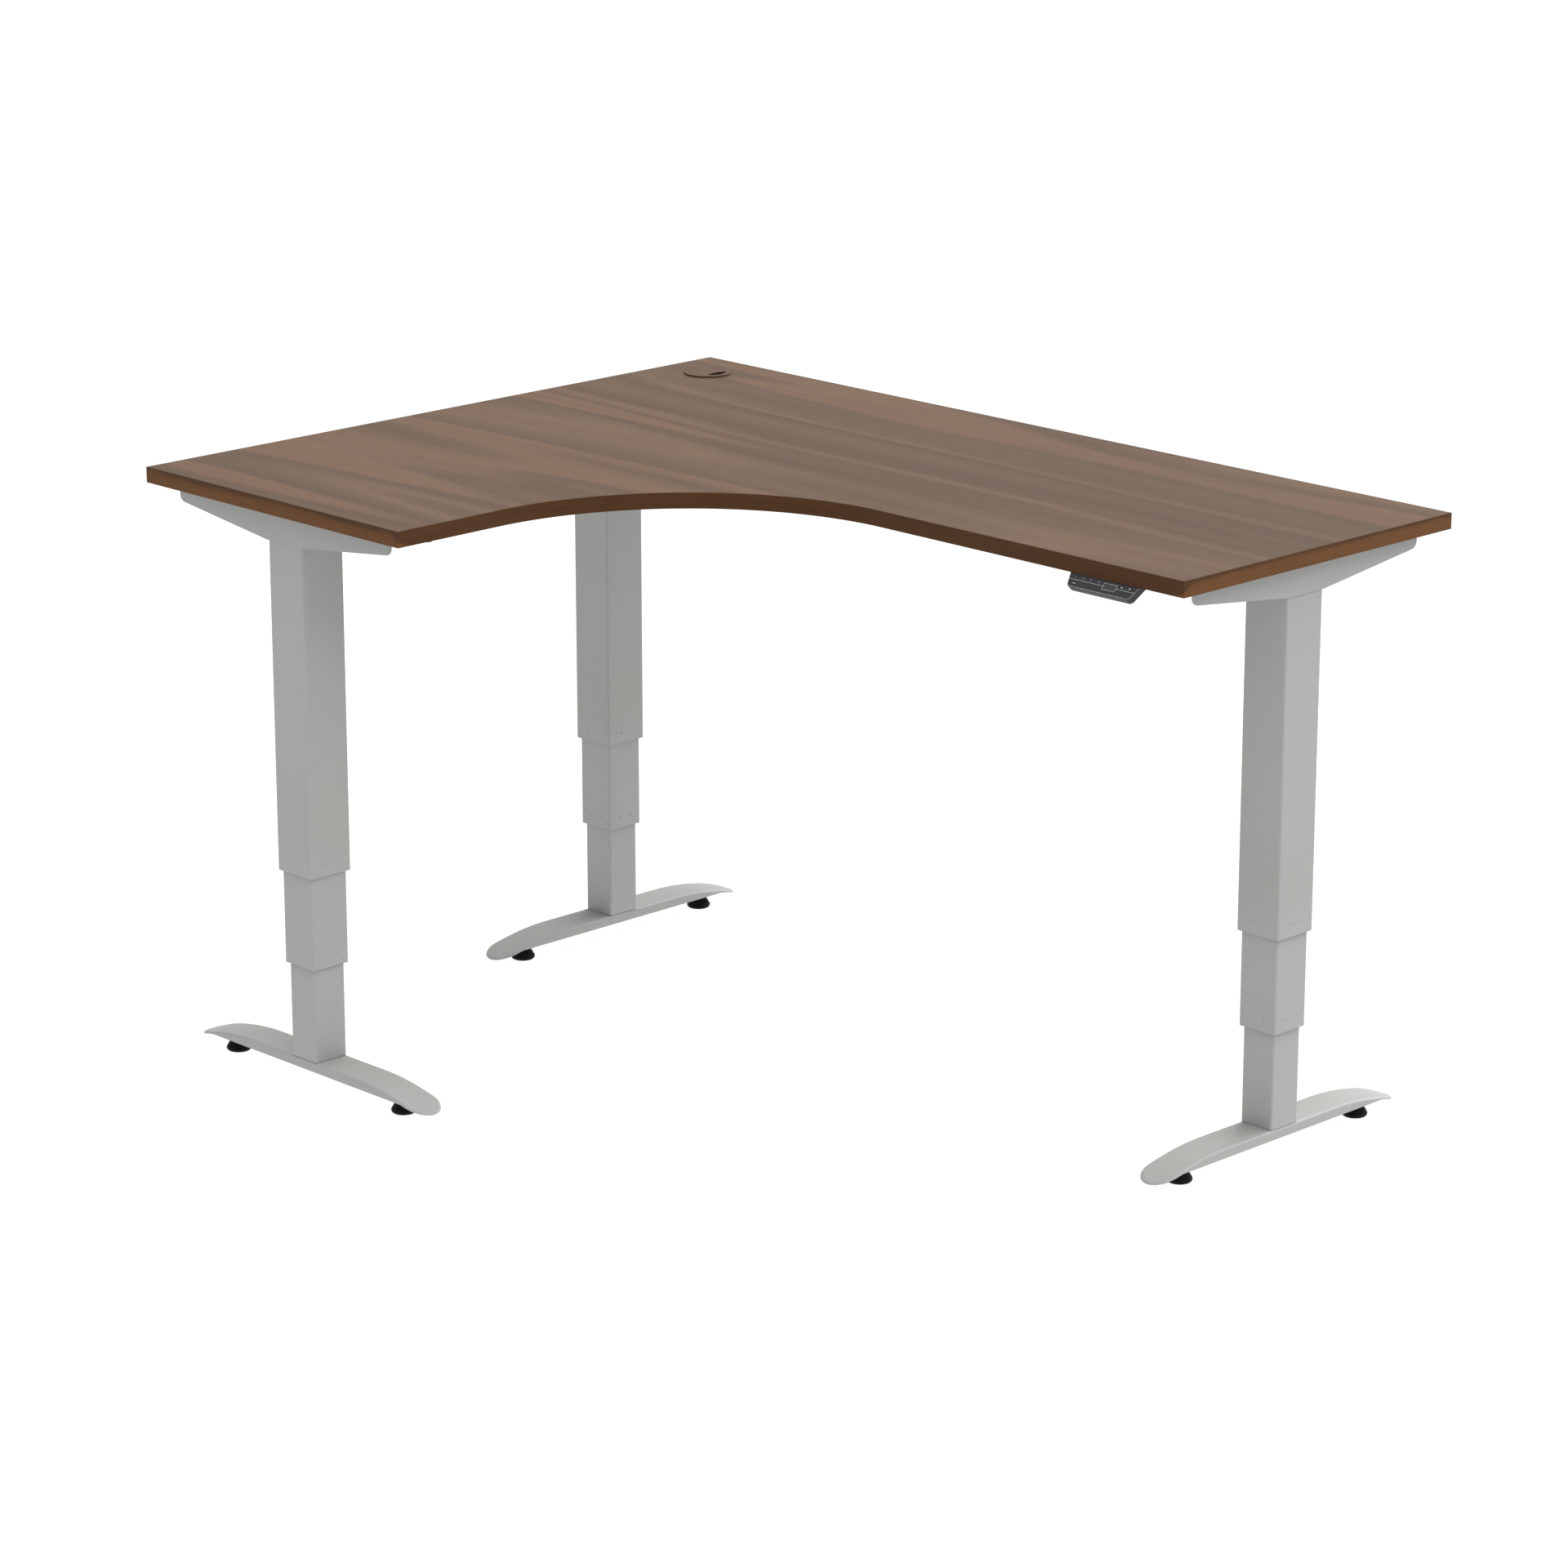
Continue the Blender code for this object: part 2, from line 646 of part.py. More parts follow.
def pocket(name, place, size, low, high):
    mesh = prism(name, [rectangle(size[0] + 2 * GAP, size[1] + 2 * GAP, KEY_CORNER)], low, high)
    mesh.transform(Matrix.Translation((*place, 0.0)))
    return mesh


def build_handset():
    origin = Vector((HANDSET_X, 0.0, UNDERSIDE - HANDSET_DROP))
    place = add_empty("handset_frame", origin, (HANDSET_TILT, 0.0, 0.0))
    to_local = (Matrix.Translation(origin) @ Matrix.Rotation(HANDSET_TILT, 4, "X")).inverted()

    board = box("board", (0.0, -FAR, HANGING_TOP), (FAR, FAR, FAR))
    board.transform(to_local)
    length, depth, height = HANDSET_ROOT
    root = box(
        "handset_root",
        (HANDSET_X - length / 2, HANDSET_BACK, HANGING_TOP - height),
        (HANDSET_X + length / 2, HANDSET_BACK + depth, HANGING_TOP + height),
    )
    root.transform(to_local)

    housing_top = -FACE_THICKNESS - GAP
    slab = prism("handset_housing", [handset_outline(0.0)], -HANDSET_THICKNESS, housing_top)
    steps = [("UNION", root), ("DIFFERENCE", board)]
    for name, x, y, size in KEYS:
        steps.append(("DIFFERENCE", pocket(name, (x, y), size, -KEY_POCKET, FACE_THICKNESS)))
    add_part("handset_housing", combined(slab, *steps), CASE, place)

    face = prism("handset_face", [handset_outline(FACE_MARGIN)], -FACE_THICKNESS, 0.0)
    window = pocket("window", (DISPLAY_X, DISPLAY_Y), DISPLAY_SIZE, -KEY_POCKET, FACE_THICKNESS)
    steps = [("DIFFERENCE", board.copy()), ("DIFFERENCE", window)]
    for name, x, y, size in KEYS:
        steps.append(("DIFFERENCE", pocket(name, (x, y), size, -KEY_POCKET, FACE_THICKNESS)))
    add_part("handset_face", combined(face, *steps), FACE, place)

    screen = prism("handset_display", [rectangle(*DISPLAY_SIZE, KEY_CORNER)], -FACE_THICKNESS, 0.0)
    add_part("handset_display", screen, SCREEN, place, (DISPLAY_X, DISPLAY_Y, 0.0))
    for name, x, y, size in KEYS:
        key = prism(name, [rectangle(*size, KEY_CORNER)], KEY_BOTTOM, KEY_TOP)
        add_part(name, key, FACE, place, (x, y, 0.0))


build_desktop()
build_grommet()
build_columns()
build_rails()
build_control_box()
build_handset()
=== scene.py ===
"""The looks of a corner standing desk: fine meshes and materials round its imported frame.

Units are metres, +Z is up, and everything is in the frame's own axes.
"""
import math

import bmesh
import bpy
from mathutils import Matrix, Vector


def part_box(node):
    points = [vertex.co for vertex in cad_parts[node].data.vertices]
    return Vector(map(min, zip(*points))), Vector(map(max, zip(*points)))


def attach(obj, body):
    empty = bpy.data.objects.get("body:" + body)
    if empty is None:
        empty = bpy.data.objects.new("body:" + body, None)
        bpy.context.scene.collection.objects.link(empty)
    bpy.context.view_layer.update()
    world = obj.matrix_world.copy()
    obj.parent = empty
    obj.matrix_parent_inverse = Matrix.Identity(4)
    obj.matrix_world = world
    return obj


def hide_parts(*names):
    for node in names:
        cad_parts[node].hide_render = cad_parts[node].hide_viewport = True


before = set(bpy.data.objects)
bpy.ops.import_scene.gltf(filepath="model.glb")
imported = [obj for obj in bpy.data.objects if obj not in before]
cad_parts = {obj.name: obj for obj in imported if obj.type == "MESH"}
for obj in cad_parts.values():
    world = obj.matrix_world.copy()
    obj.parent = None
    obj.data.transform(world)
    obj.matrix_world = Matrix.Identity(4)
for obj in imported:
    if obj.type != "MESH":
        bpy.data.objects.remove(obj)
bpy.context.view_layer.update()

# The desktop
BAND_LOW, BAND_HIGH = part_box("edge_band")
DESK_TOP = BAND_HIGH.z
UNDERSIDE = BAND_LOW.z
BAND_THICKNESS = 0.0017
BAND_ROUND = 0.0007
WING_DEPTH = 0.600
BAY_RADIUS = 0.400
BAY_STEPS = 96
# The edging strip from the back left corner: its length, and how far down its dark streak
# reaches along it, 1 being the whole height, which it has round the bay
STRIP_LENGTH = 5.428
STRIP_STREAK = ((0.0, 0.10), (0.330, 0.10), (0.335, 1.0), (0.592, 1.0), (0.597, 0.05), (1.0, 0.10))

# The grommet
COVER_LOW, COVER_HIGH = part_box("grommet_cover")
GROMMET = (COVER_LOW + COVER_HIGH) / 2
SLEEVE_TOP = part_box("grommet_sleeve")[1].z
FLANGE_RADIUS = (COVER_HIGH.x - COVER_LOW.x) / 2
SLEEVE_RADIUS = 0.0340
SLEEVE_BORE = 0.0320
# A dark sheet lines the sleeve's bore: painted shade for the hollow seen through the lid's slot
SHADE_LINER_THICKNESS = 0.0015
SHADE_LINER_GAP = 0.0001
COVER_BOSS = 0.0030
BOSS_WALL = 0.0014
REBATE_DEPTH = 0.0010
SLOT_OUTER_RADIUS = 0.0310
SLOT_INNER_RADIUS = 0.0335
SLOT_INNER_CENTRE = 0.0480
SLOT_STEPS = 20
GROMMET_EDGE = 0.0003

# The columns: the turn about Z that lays local X along each foot
TURNS = {"corner": math.radians(90), "right": math.radians(90), "wing": 0.0}
TUBE_WALL = 0.0018
TUBE_CORNER = 0.0034
TUBE_RIM = 0.0004
DIMPLE_RADIUS = 0.0034
DIMPLE_DEPTH = 0.0010
DIMPLE_SPREAD = 0.012
DIMPLE_HEIGHT = 0.019
BALL_STEPS = (48, 32)

# The support brackets
BRACKET_HALF_LENGTH = 0.2515
BRACKET_HALF_WIDTH = 0.0423
BRACKET_SHEET = 0.0020
BRACKET_DEPTH = 0.050
BRACKET_END_DEPTH = 0.0241
BRACKET_FLAT = 0.040
BRACKET_END_RADIUS = 0.012
BRACKET_BEND_RADIUS = 0.030
BRACKET_FOLD = 0.0035
BRACKET_FAR_RISE = 0.006
BRACKET_STEPS = 10
BRACKET_SCREWS = ((0.228, 0.020), (0.145, 0.020))
SCREW_CLEARANCE = 0.008

# The gear motors: a ribbed block between two covers, and a can lying along local X
GEAR_BODY = (0.0745, 0.0765, 0.007)
GEAR_COVER = (0.076, 0.078, 0.008)
GEAR_LID = 0.0060
GEAR_BASE = 0.0035
GEAR_LAP = 0.0004
GEAR_RIB = (0.0028, 0.0776)
GEAR_RIB_PITCH = 0.012
GEAR_RIB_ENDS = (0.0001, 0.0002)
GEAR_EDGES = (0.0012, 0.0008, 0.0005)
GEAR_SCREW_RISE = 0.0002
GEAR_SCREW_SPOT = (0.031, 0.032)
CAN_RADIUS = 0.0175
CAN_START = 0.0365

# The feet and their levelling pads
FOOT_HALF_LENGTH = 0.275
FOOT_WIDTH = 0.062
FOOT_TOP = 0.0415
FOOT_FLAT = 0.125
FOOT_ARC = 0.480
FOOT_WALL_BOTTOM = 0.026
FOOT_PLATE = 0.0035
FOOT_TIP = 0.036
FOOT_SHEET = 0.0025
FOOT_EDGE = 0.0038
FOOT_EDGE_SHARE = 0.55
FOOT_HOLLOW = 0.214
FOOT_HOLLOW_END = 0.230
FOOT_RIM = 0.0004
FOOT_STATIONS = 48
FOOT_TIP_STEPS = 24
FOOT_BOLT_SPOT = (0.019, 0.017)
PAD_OFFSET = 0.2025
INSERT_RADIUS = 0.0078
INSERT_BORE = 0.0043
INSERT_RIM = 0.0003
PAD_PROFILE = (
    (0.0, 0.0), (0.0150, 0.0), (0.0174, 0.0006), (0.0190, 0.0019), (0.0199, 0.0040),
    (0.0199, 0.0052), (0.0193, 0.0068), (0.0098, 0.0234), (0.0090, 0.0248), (0.0080, 0.0256),
    (0.0, 0.0256),
)
STUD_CREST = 0.0040
STUD_ROOT = 0.0036
STUD_PITCH = 0.00125
STUD_LOW = 0.0240
STUD_THREAD = (0.0257, 0.0300)
STUD_TOP = 0.0316

# The spindles
LEAD = 0.006
THREAD_DEPTH = 0.0010
THREAD_STEPS = 30
ROWS_PER_TURN = 6
LOWER_SCREW_BORE = 0.0075

# The rails
RAIL_WALL = 0.0015
RAIL_CORNER = 0.0030
RAIL_STEPS = 5
RAIL_RIM = 0.0003
RAIL_SCREWS = (0.020, 0.055)

# The control box: its seam and vents, its sockets as (y, (width, height)), and its ears
BOX_CORNER = 0.006
CASE_EDGE = 0.0016
LID_EDGE = 0.0010
BOX_SPLIT = 0.68
BOX_SEAM = 0.0002
VENTS = 12
VENT_PITCH = 0.008
VENT_SIZE = (0.003, 0.060, 0.0014)
VENT_DEPTH = 0.0014
LEAD_PORT = (0.016, 0.011)
PORTS = ((-0.036, LEAD_PORT), (-0.014, LEAD_PORT), (0.008, LEAD_PORT), (0.034, (0.013, 0.011)))
PORT_DEPTH = 0.010
PORT_DROP = 0.001
PORT_PINS = ((-0.003, 0.0022), (0.003, 0.0022), (-0.003, -0.0022), (0.003, -0.0022))
PORT_PIN = (0.0010, 0.0010)
INLET = (0.026, 0.016)
INLET_DEPTH = 0.014
INLET_PINS = ((0.0, 0.003), (-0.007, -0.002), (0.007, -0.002))
INLET_PIN = (0.0020, 0.0040)
SOCKET_WALL = 0.0008
SOCKET_CORNERS = (0.0010, 0.0006)
SOCKET_STEPS = 3
SOCKET_LIP = 0.0004
SOCKET_EDGE = 0.0002
SOCKET_BACK = (0.0010, 0.0005)
PIN_SETBACK = 0.002
EAR_SIZE = (0.018, 0.020, 0.004)
EAR_THICKNESS = 0.0032
EAR_REACH = 0.007
EAR_SPREAD = 0.036
EAR_EDGE = 0.0004

# The handset, in its own frame: local Y up the tilted face, local Z out of it
HANDSET_ORIGIN = Vector((0.6495, 0.0, UNDERSIDE - 0.001))
HANDSET_TILT = math.radians(45)
HANDSET_FRAME = Matrix.Translation(HANDSET_ORIGIN) @ Matrix.Rotation(HANDSET_TILT, 4, "X")
HANDSET_HALF_TOP = 0.0666
HANDSET_SIDE_SLOPE = 0.30
HANDSET_REACH = 0.0218
HANDSET_BACK = 0.014
HANDSET_CORNER = 0.008
HANDSET_THICKNESS = 0.011
HANDSET_EDGE = 0.0009
HANDSET_STEPS = 12
HANDSET_ROOT = (0.060, 0.031, 0.014)
ROOT_EDGE = 0.0020
ROOT_SCREW_SHARE = 0.6
HANDSET_SCREWS = (-0.020, 0.020)
FACE_THICKNESS = 0.0007
FACE_MARGIN = 0.0008
FACE_EDGE = 0.00008
FACE_BED = 0.0002
KEY_ROW = -0.0043
KEY_SIZE = (0.0108, 0.0054)
MEMORY_SIZE = (0.0100, 0.0042)
KEY_CORNER = 0.0012
KEY_TOP = 0.00015
KEY_BOTTOM = -0.0016
KEY_POCKET = 0.0024
KEY_GAP = 0.00012
KEY_EDGE = 0.0001
KEYS = {
    "key_1": (-0.0525, KEY_ROW, KEY_SIZE),
    "key_2": (-0.0376, KEY_ROW, KEY_SIZE),
    "key_3": (-0.0227, KEY_ROW, KEY_SIZE),
    "key_4": (-0.0078, KEY_ROW, KEY_SIZE),
    "key_up": (0.0361, KEY_ROW, KEY_SIZE),
    "key_down": (0.0510, KEY_ROW, KEY_SIZE),
    "key_memory": (-0.0490, -0.0146, MEMORY_SIZE),
}
DISPLAY = (0.0152, -0.0086)
DISPLAY_SIZE = (0.0234, 0.0094)
DISPLAY_MARGIN = 0.0004
DISPLAY_DROP = 0.00005
PRINT_THICKNESS = 0.00004
PRINT_LINE = 0.00045
PRINT_MARGIN = 0.0001
LINE_SETBACK = 0.0012
FIGURE_HEIGHT = 0.0029
ARROW_SIZE = (0.0034, 0.0030, 0.0002)
SQUARE_SIZE = (0.0012, 0.0014, 0.0002)
SQUARE_PITCH = 0.0018

# The studio: a camera looking down at the corner of the bay, a pale floor and soft light
CAMERA_PLACE = (5.3736, -5.2541, 2.6925)
CAMERA_YAW = math.radians(-45.674)
CAMERA_PITCH = math.radians(-16.414)
CAMERA_LENS = 116.79
FLOOR_REACH = 40.0
FLOOR_SHADE = 0.10
FLOOR_GLOW = 0.94
ROOM_STRENGTH = 1.30
ROOM_LIGHT = ((0.0, 0.74), (0.25, 0.25), (1.0, 1.0))
SUNS = (
    ("overhead", (0.55, 0.0, 1.0), 1.27, math.radians(60)),
    ("back", (0.0, 1.0, 0.7), 2.42, math.radians(60)),
)

# Shared values: how finely curves are cut, gaps, angles, and screw heads as radius, height and
# socket, with the shares of height and radius that shape them
SHARP_ANGLE = math.radians(34)
MERGE_DISTANCE = 0.000002
ROUND_STEPS = 64
SMALL_STEPS = 24
CORNER_STEPS = 8
EDGE_STEPS = 4
GAP = 0.0003
QUARTER = math.radians(90)
HALF_TURN = math.radians(180)
STILL = Matrix.Identity(4)
FAR = 1.0
FRAME_SCREW = (0.0042, 0.0026, 0.0019)
FOOT_BOLT = (0.0058, 0.0048, 0.0029)
BOX_SCREW = (0.0036, 0.0022, 0.0016)
GEAR_SCREW = (0.0032, 0.0022, 0.0015)
HANDSET_SCREW = (0.0030, 0.0018, 0.0013)
SCREW_EDGE = 0.22
HEXAGON_RIM = 1.18
HEXAGON_CHAMFER = 0.0004
HEXAGON_FLOOR = 0.35
WASHER_REACH = 1.65
WASHER_HOLE = 0.6
WASHER_THICKNESS = 0.0008
WASHER_RIM = 0.00015


# Materials

def tone(red, green, blue):
    """A linear colour from one given on the usual 0 to 255 display scale."""
    def linear(value):
        value /= 255
        return value / 12.92 if value <= 0.04045 else ((value + 0.055) / 1.055) ** 2.4
    return (linear(red), linear(green), linear(blue), 1.0)


def grey(level):
    return (level, level, level, 1.0)


def fill_ramp(node, stops):
    """Gives a colour ramp its (position, colour) stops, in rising order."""
    elements = node.color_ramp.elements
    while len(elements) < len(stops):
        elements.new(1.0)
    for element, (position, colour) in zip(elements, stops):
        element.position = position
        element.color = colour


class Look:
    """A Principled material, and short calls that add nodes to it."""

    def __init__(self, name, colour, roughness, metallic=0.0, **sockets):
        self.material = bpy.data.materials.new(name)
        self.material.use_nodes = True
        self.tree = self.material.node_tree
        self.shader = self.tree.nodes["Principled BSDF"]
        self.shader.inputs["Base Color"].default_value = colour
        self.shader.inputs["Roughness"].default_value = roughness
        self.shader.inputs["Metallic"].default_value = metallic
        for socket, value in sockets.items():
            self.shader.inputs[socket.replace("_", " ")].default_value = value
        self.place = self.add("ShaderNodeTexCoord").outputs["Object"]

    def feed(self, value, socket):
        """Links an output to a socket, or sets the socket to a number or a colour."""
        if isinstance(value, bpy.types.NodeSocket):
            self.tree.links.new(value, socket)
        else:
            socket.default_value = value

    def add(self, kind, inputs=None, **settings):
        """Adds a node with its settings, and feeds its inputs, by name or by number."""
        node = self.tree.nodes.new(kind)
        for setting, value in settings.items():
            setattr(node, setting, value)
        for socket, value in (inputs or {}).items():
            self.feed(value, node.inputs[socket])
        return node

    def use_map(self, name):
        """Reads places from a UV map in metres instead of from the object."""
        self.place = self.add("ShaderNodeUVMap", uv_map=name).outputs["UV"]

    def math(self, operation, first, second):
        return self.add("ShaderNodeMath", {0: first, 1: second}, operation=operation).outputs["Value"]

    def noise(self, size, detail=2.0, roughness=0.5):
        """Noise from 0 to 1, whose patches measure size, as one number or along each axis."""
        sizes = size if isinstance(size, tuple) else (size, size, size)
        scaled = self.add("ShaderNodeVectorMath", {0: self.place, 1: sizes}, operation="DIVIDE")
        inputs = {"Scale": 1.0, "Detail": detail, "Roughness": roughness}
        node = self.add("ShaderNodeTexNoise", {"Vector": scaled.outputs["Vector"], **inputs})
        return node.outputs["Fac"]

    def ramp(self, factor, stops):
        node = self.add("ShaderNodeValToRGB", {"Fac": factor})
        fill_ramp(node, stops)
        return node.outputs["Color"]

    def multiply(self, first, second, amount=1.0):
        """The first colour times the second; a Mix node takes its colours at inputs 6 and 7."""
        inputs = {0: amount, 6: first, 7: second}
        return self.add("ShaderNodeMix", inputs, data_type="RGBA", blend_type="MULTIPLY").outputs[2]

    def darken(self, base, factor, low, high, dark, amount=1.0):
        """The base colour times dark where the factor is low, and as it is where it is high."""
        return self.multiply(base, self.ramp(factor, ((low, grey(dark)), (high, grey(1.0)))), amount)

    def colour(self, output):
        self.feed(output, self.shader.inputs["Base Color"])

    def roughness(self, factor, low, high):
        node = self.add("ShaderNodeMapRange", {"Value": factor, "To Min": low, "To Max": high})
        self.feed(node.outputs["Result"], self.shader.inputs["Roughness"])

    def bump(self, height, distance, strength):
        node = self.add("ShaderNodeBump", {"Height": height, "Distance": distance, "Strength": strength})
        self.feed(node.outputs["Normal"], self.shader.inputs["Normal"])


def bend_grain(look, along, across, reach):
    """Shifts the look's places across the grain by slow noise, so that streaks wander."""
    wander = look.noise((along, across, along))
    shift = look.math("MULTIPLY", look.math("SUBTRACT", wander, 0.5), reach)
    offset = look.add("ShaderNodeCombineXYZ", {"Y": shift}).outputs["Vector"]
    bent = look.add("ShaderNodeVectorMath", {0: look.place, 1: offset}, operation="ADD")
    look.place = bent.outputs["Vector"]


def walnut_laminate():
    """Printed walnut on the board's faces, with its grain along X."""
    look = Look("walnut_laminate", tone(100, 83, 70), 0.55, Specular_IOR_Level=0.03)
    bend_grain(look, 1.00, 0.22, 0.024)
    broad = look.noise((2.30, 0.200, 1.0), 2.0, 0.40)
    base = look.ramp(broad, (
        (0.25, tone(95, 80, 69)),
        (0.35, tone(99, 83, 70)),
        (0.40, tone(110, 89, 74)),
        (0.44, tone(112, 91, 76)),
        (0.47, tone(97, 81, 70)),
        (0.51, tone(102, 85, 72)),
        (0.55, tone(111, 91, 76)),
        (0.61, tone(96, 80, 69)),
        (0.75, tone(105, 87, 73)),
    ))
    ribbons = look.noise((1.40, 0.046, 1.0), 2.0, 0.5)
    base = look.darken(base, ribbons, 0.36, 0.62, 0.94)
    veins = look.noise((1.80, 0.060, 1.0), 3.0, 0.45)
    vein = look.ramp(veins, (
        (0.462, grey(1.0)),
        (0.487, (0.84, 0.83, 0.83, 1.0)),
        (0.491, grey(1.0)),
    ))
    base = look.multiply(base, vein, 0.5)
    fibres = look.noise((0.240, 0.0050, 1.0), 4.0, 0.6)
    base = look.darken(base, fibres, 0.32, 0.68, 0.90)
    pores = look.noise((0.014, 0.00060, 1.0), 1.0)
    base = look.darken(base, pores, 0.26, 0.36, 0.76, 0.8)
    look.colour(base)
    look.roughness(fibres, 0.48, 0.58)
    look.bump(look.math("ADD", fibres, pores), 0.00003, 0.5)
    return look.material


def edge_band():
    """A darker printed strip, with its grain along the strip and a dark streak near its top."""
    look = Look("edge_band", tone(85, 56, 34), 0.50, Specular_IOR_Level=0.10)
    look.use_map("strip")
    axes = look.add("ShaderNodeSeparateXYZ", {"Vector": look.place})
    height = look.math("DIVIDE", axes.outputs["Y"], DESK_TOP - UNDERSIDE)
    stops = [(position, grey(reach)) for position, reach in STRIP_STREAK]
    lift = look.ramp(look.math("DIVIDE", axes.outputs["X"], STRIP_LENGTH), stops)
    bend_grain(look, 0.22, 0.030, 0.020)
    waves = look.math("MULTIPLY", look.noise((0.26, 0.020, 1.0), 3.0, 0.55), 0.80)
    level = look.math("ADD", look.math("ADD", height, waves), lift)
    base = look.ramp(look.math("MULTIPLY", level, 0.5), (
        (0.50, tone(104, 69, 38)),
        (0.63, tone(96, 62, 34)),
        (0.66, tone(82, 55, 30)),
        (0.72, tone(78, 50, 27)),
    ))
    streaks = look.noise((0.16, 0.0045, 1.0), 4.0, 0.6)
    base = look.darken(base, streaks, 0.30, 0.62, 0.82)
    fibres = look.noise((0.040, 0.0011, 1.0), 2.0)
    base = look.darken(base, fibres, 0.30, 0.70, 0.92)
    look.colour(base)
    look.roughness(streaks, 0.44, 0.56)
    look.bump(fibres, 0.00003, 0.5)
    return look.material


def powder_coat():
    """Light grey powder coat with a fine orange peel."""
    look = Look("powder_coat", tone(159, 159, 157), 0.48)
    drift = look.noise(0.30)
    speck = look.noise(0.0007, 1.0)
    base = look.ramp(drift, ((0.35, tone(157, 157, 154)), (0.65, tone(161, 161, 159))))
    look.colour(look.darken(base, speck, 0.25, 0.50, 0.95))
    peel = look.noise(0.0016)
    look.roughness(peel, 0.42, 0.54)
    look.bump(peel, 0.00007, 0.6)
    return look.material


def moulded(name, colour, roughness, grain, depth, variation=0.88, specular=0.5):
    """A plastic from a textured mould: a fine grain in its height, gloss and colour."""
    look = Look(name, colour, roughness, Specular_IOR_Level=specular)
    fine = look.noise(grain, 2.0, 0.6)
    patches = look.noise(grain * 60)
    base = look.darken(colour, fine, 0.35, 0.65, variation)
    look.colour(look.darken(base, patches, 0.35, 0.65, 0.95))
    look.roughness(fine, roughness - 0.06, roughness + 0.08)
    look.bump(fine, depth, 0.7)
    return look.material


def grommet_plastic():
    """Brown plastic with the board's own print, faint and fine."""
    look = Look("grommet_plastic", tone(93, 72, 58), 0.50, Specular_IOR_Level=0.10)
    streaks = look.noise((0.10, 0.006, 0.10), 3.0)
    base = look.ramp(streaks, ((0.35, tone(87, 68, 55)), (0.65, tone(98, 77, 62))))
    grain = look.noise(0.0006)
    look.colour(look.darken(base, grain, 0.35, 0.65, 0.93))
    look.roughness(grain, 0.40, 0.52)
    look.bump(grain, 0.00003, 0.6)
    return look.material


def metal(name, colour, roughness, grain):
    """Bare or plated metal with fine marks of the grain's size."""
    look = Look(name, colour, roughness, 1.0)
    marks = look.noise(grain, 3.0, 0.6)
    look.colour(look.darken(colour, marks, 0.30, 0.70, 0.84))
    look.roughness(marks, roughness - 0.05, roughness + 0.10)
    look.bump(marks, 0.00002, 0.6)
    return look.material


def display_glass():
    """A dark window over an unlit display."""
    look = Look("display_glass", tone(19, 18, 21), 0.16, 0.0, Coat_Weight=0.4, Coat_Roughness=0.08)
    smear = look.noise((0.008, 0.004, 0.008), 3.0)
    look.colour(look.ramp(smear, ((0.3, tone(16, 15, 18)), (0.7, tone(22, 21, 24)))))
    look.roughness(smear, 0.12, 0.22)
    return look.material


LOOKS = {
    "walnut_laminate": walnut_laminate(),
    "edge_band": edge_band(),
    "powder_coat": powder_coat(),
    "grommet_plastic": grommet_plastic(),
    "case_plastic": moulded("case_plastic", tone(54, 52, 55), 0.50, 0.0005, 0.00005, specular=0.35),
    "overlay_plastic": moulded("overlay_plastic", tone(44, 42, 45), 0.44, 0.0003, 0.00001, 0.94, 0.35),
    "display_glass": display_glass(),
    "pad_polymer": moulded("pad_polymer", tone(18, 18, 19), 0.52, 0.0005, 0.00005, specular=0.10),
    "grey_polymer": moulded("grey_polymer", tone(92, 92, 92), 0.50, 0.0006, 0.00004),
    "nut_polymer": moulded("nut_polymer", tone(214, 213, 206), 0.42, 0.0006, 0.00003, 0.95),
    "bright_steel": metal("bright_steel", tone(190, 191, 194), 0.30, (0.004, 0.004, 0.0004)),
    "cast_motor": metal("cast_motor", tone(160, 163, 166), 0.46, 0.0012),
}
PRINT = moulded("key_print", tone(200, 200, 200), 0.55, 0.0002, 0.000005, 0.96)
# Dark connector plastic for the control box's sockets; the same look lines the grommet's bore as painted
# shade
DARK_PLASTIC_AND_SHADE = moulded("connector_plastic_and_grommet_shade", tone(38, 38, 40), 0.50, 0.0004, 0.00003)


# Outlines

def rounded(corners, steps=CORNER_STEPS):
    """A closed outline from (x, y, radius) corners, each rounded by an arc."""
    points = []
    for i, (x, y, radius) in enumerate(corners):
        here = Vector((x, y))
        if radius == 0:
            points.append(here)
            continue
        back = (Vector(corners[i - 1][:2]) - here).normalized()
        ahead = (Vector(corners[(i + 1) % len(corners)][:2]) - here).normalized()
        half = back.angle(ahead) / 2
        centre = here + (back + ahead).normalized() * radius / math.sin(half)
        first = here + back * radius / math.tan(half) - centre
        last = here + ahead * radius / math.tan(half) - centre
        sweep = first.angle_signed(last)
        for step in range(steps + 1):
            points.append(centre + Matrix.Rotation(-sweep * step / steps, 2) @ first)
    return points


def rectangle(width, height, radius=0.0, steps=CORNER_STEPS):
    x, y = width / 2, height / 2
    return rounded(((x, y, radius), (-x, y, radius), (-x, -y, radius), (x, -y, radius)), steps)


def polar(radius, angle):
    return Vector((radius * math.cos(angle), radius * math.sin(angle)))


def circle(radius, steps=ROUND_STEPS):
    return [polar(radius, math.tau * step / steps) for step in range(steps)]


def hexagon(radius):
    """Points at even angles on a hexagon, radius from its centre to a corner."""
    points = []
    for step in range(SMALL_STEPS):
        angle = math.tau * step / SMALL_STEPS
        past_corner = angle % (math.tau / 6) - math.tau / 12
        points.append(polar(radius * math.cos(math.tau / 12) / math.cos(past_corner), angle))
    return points


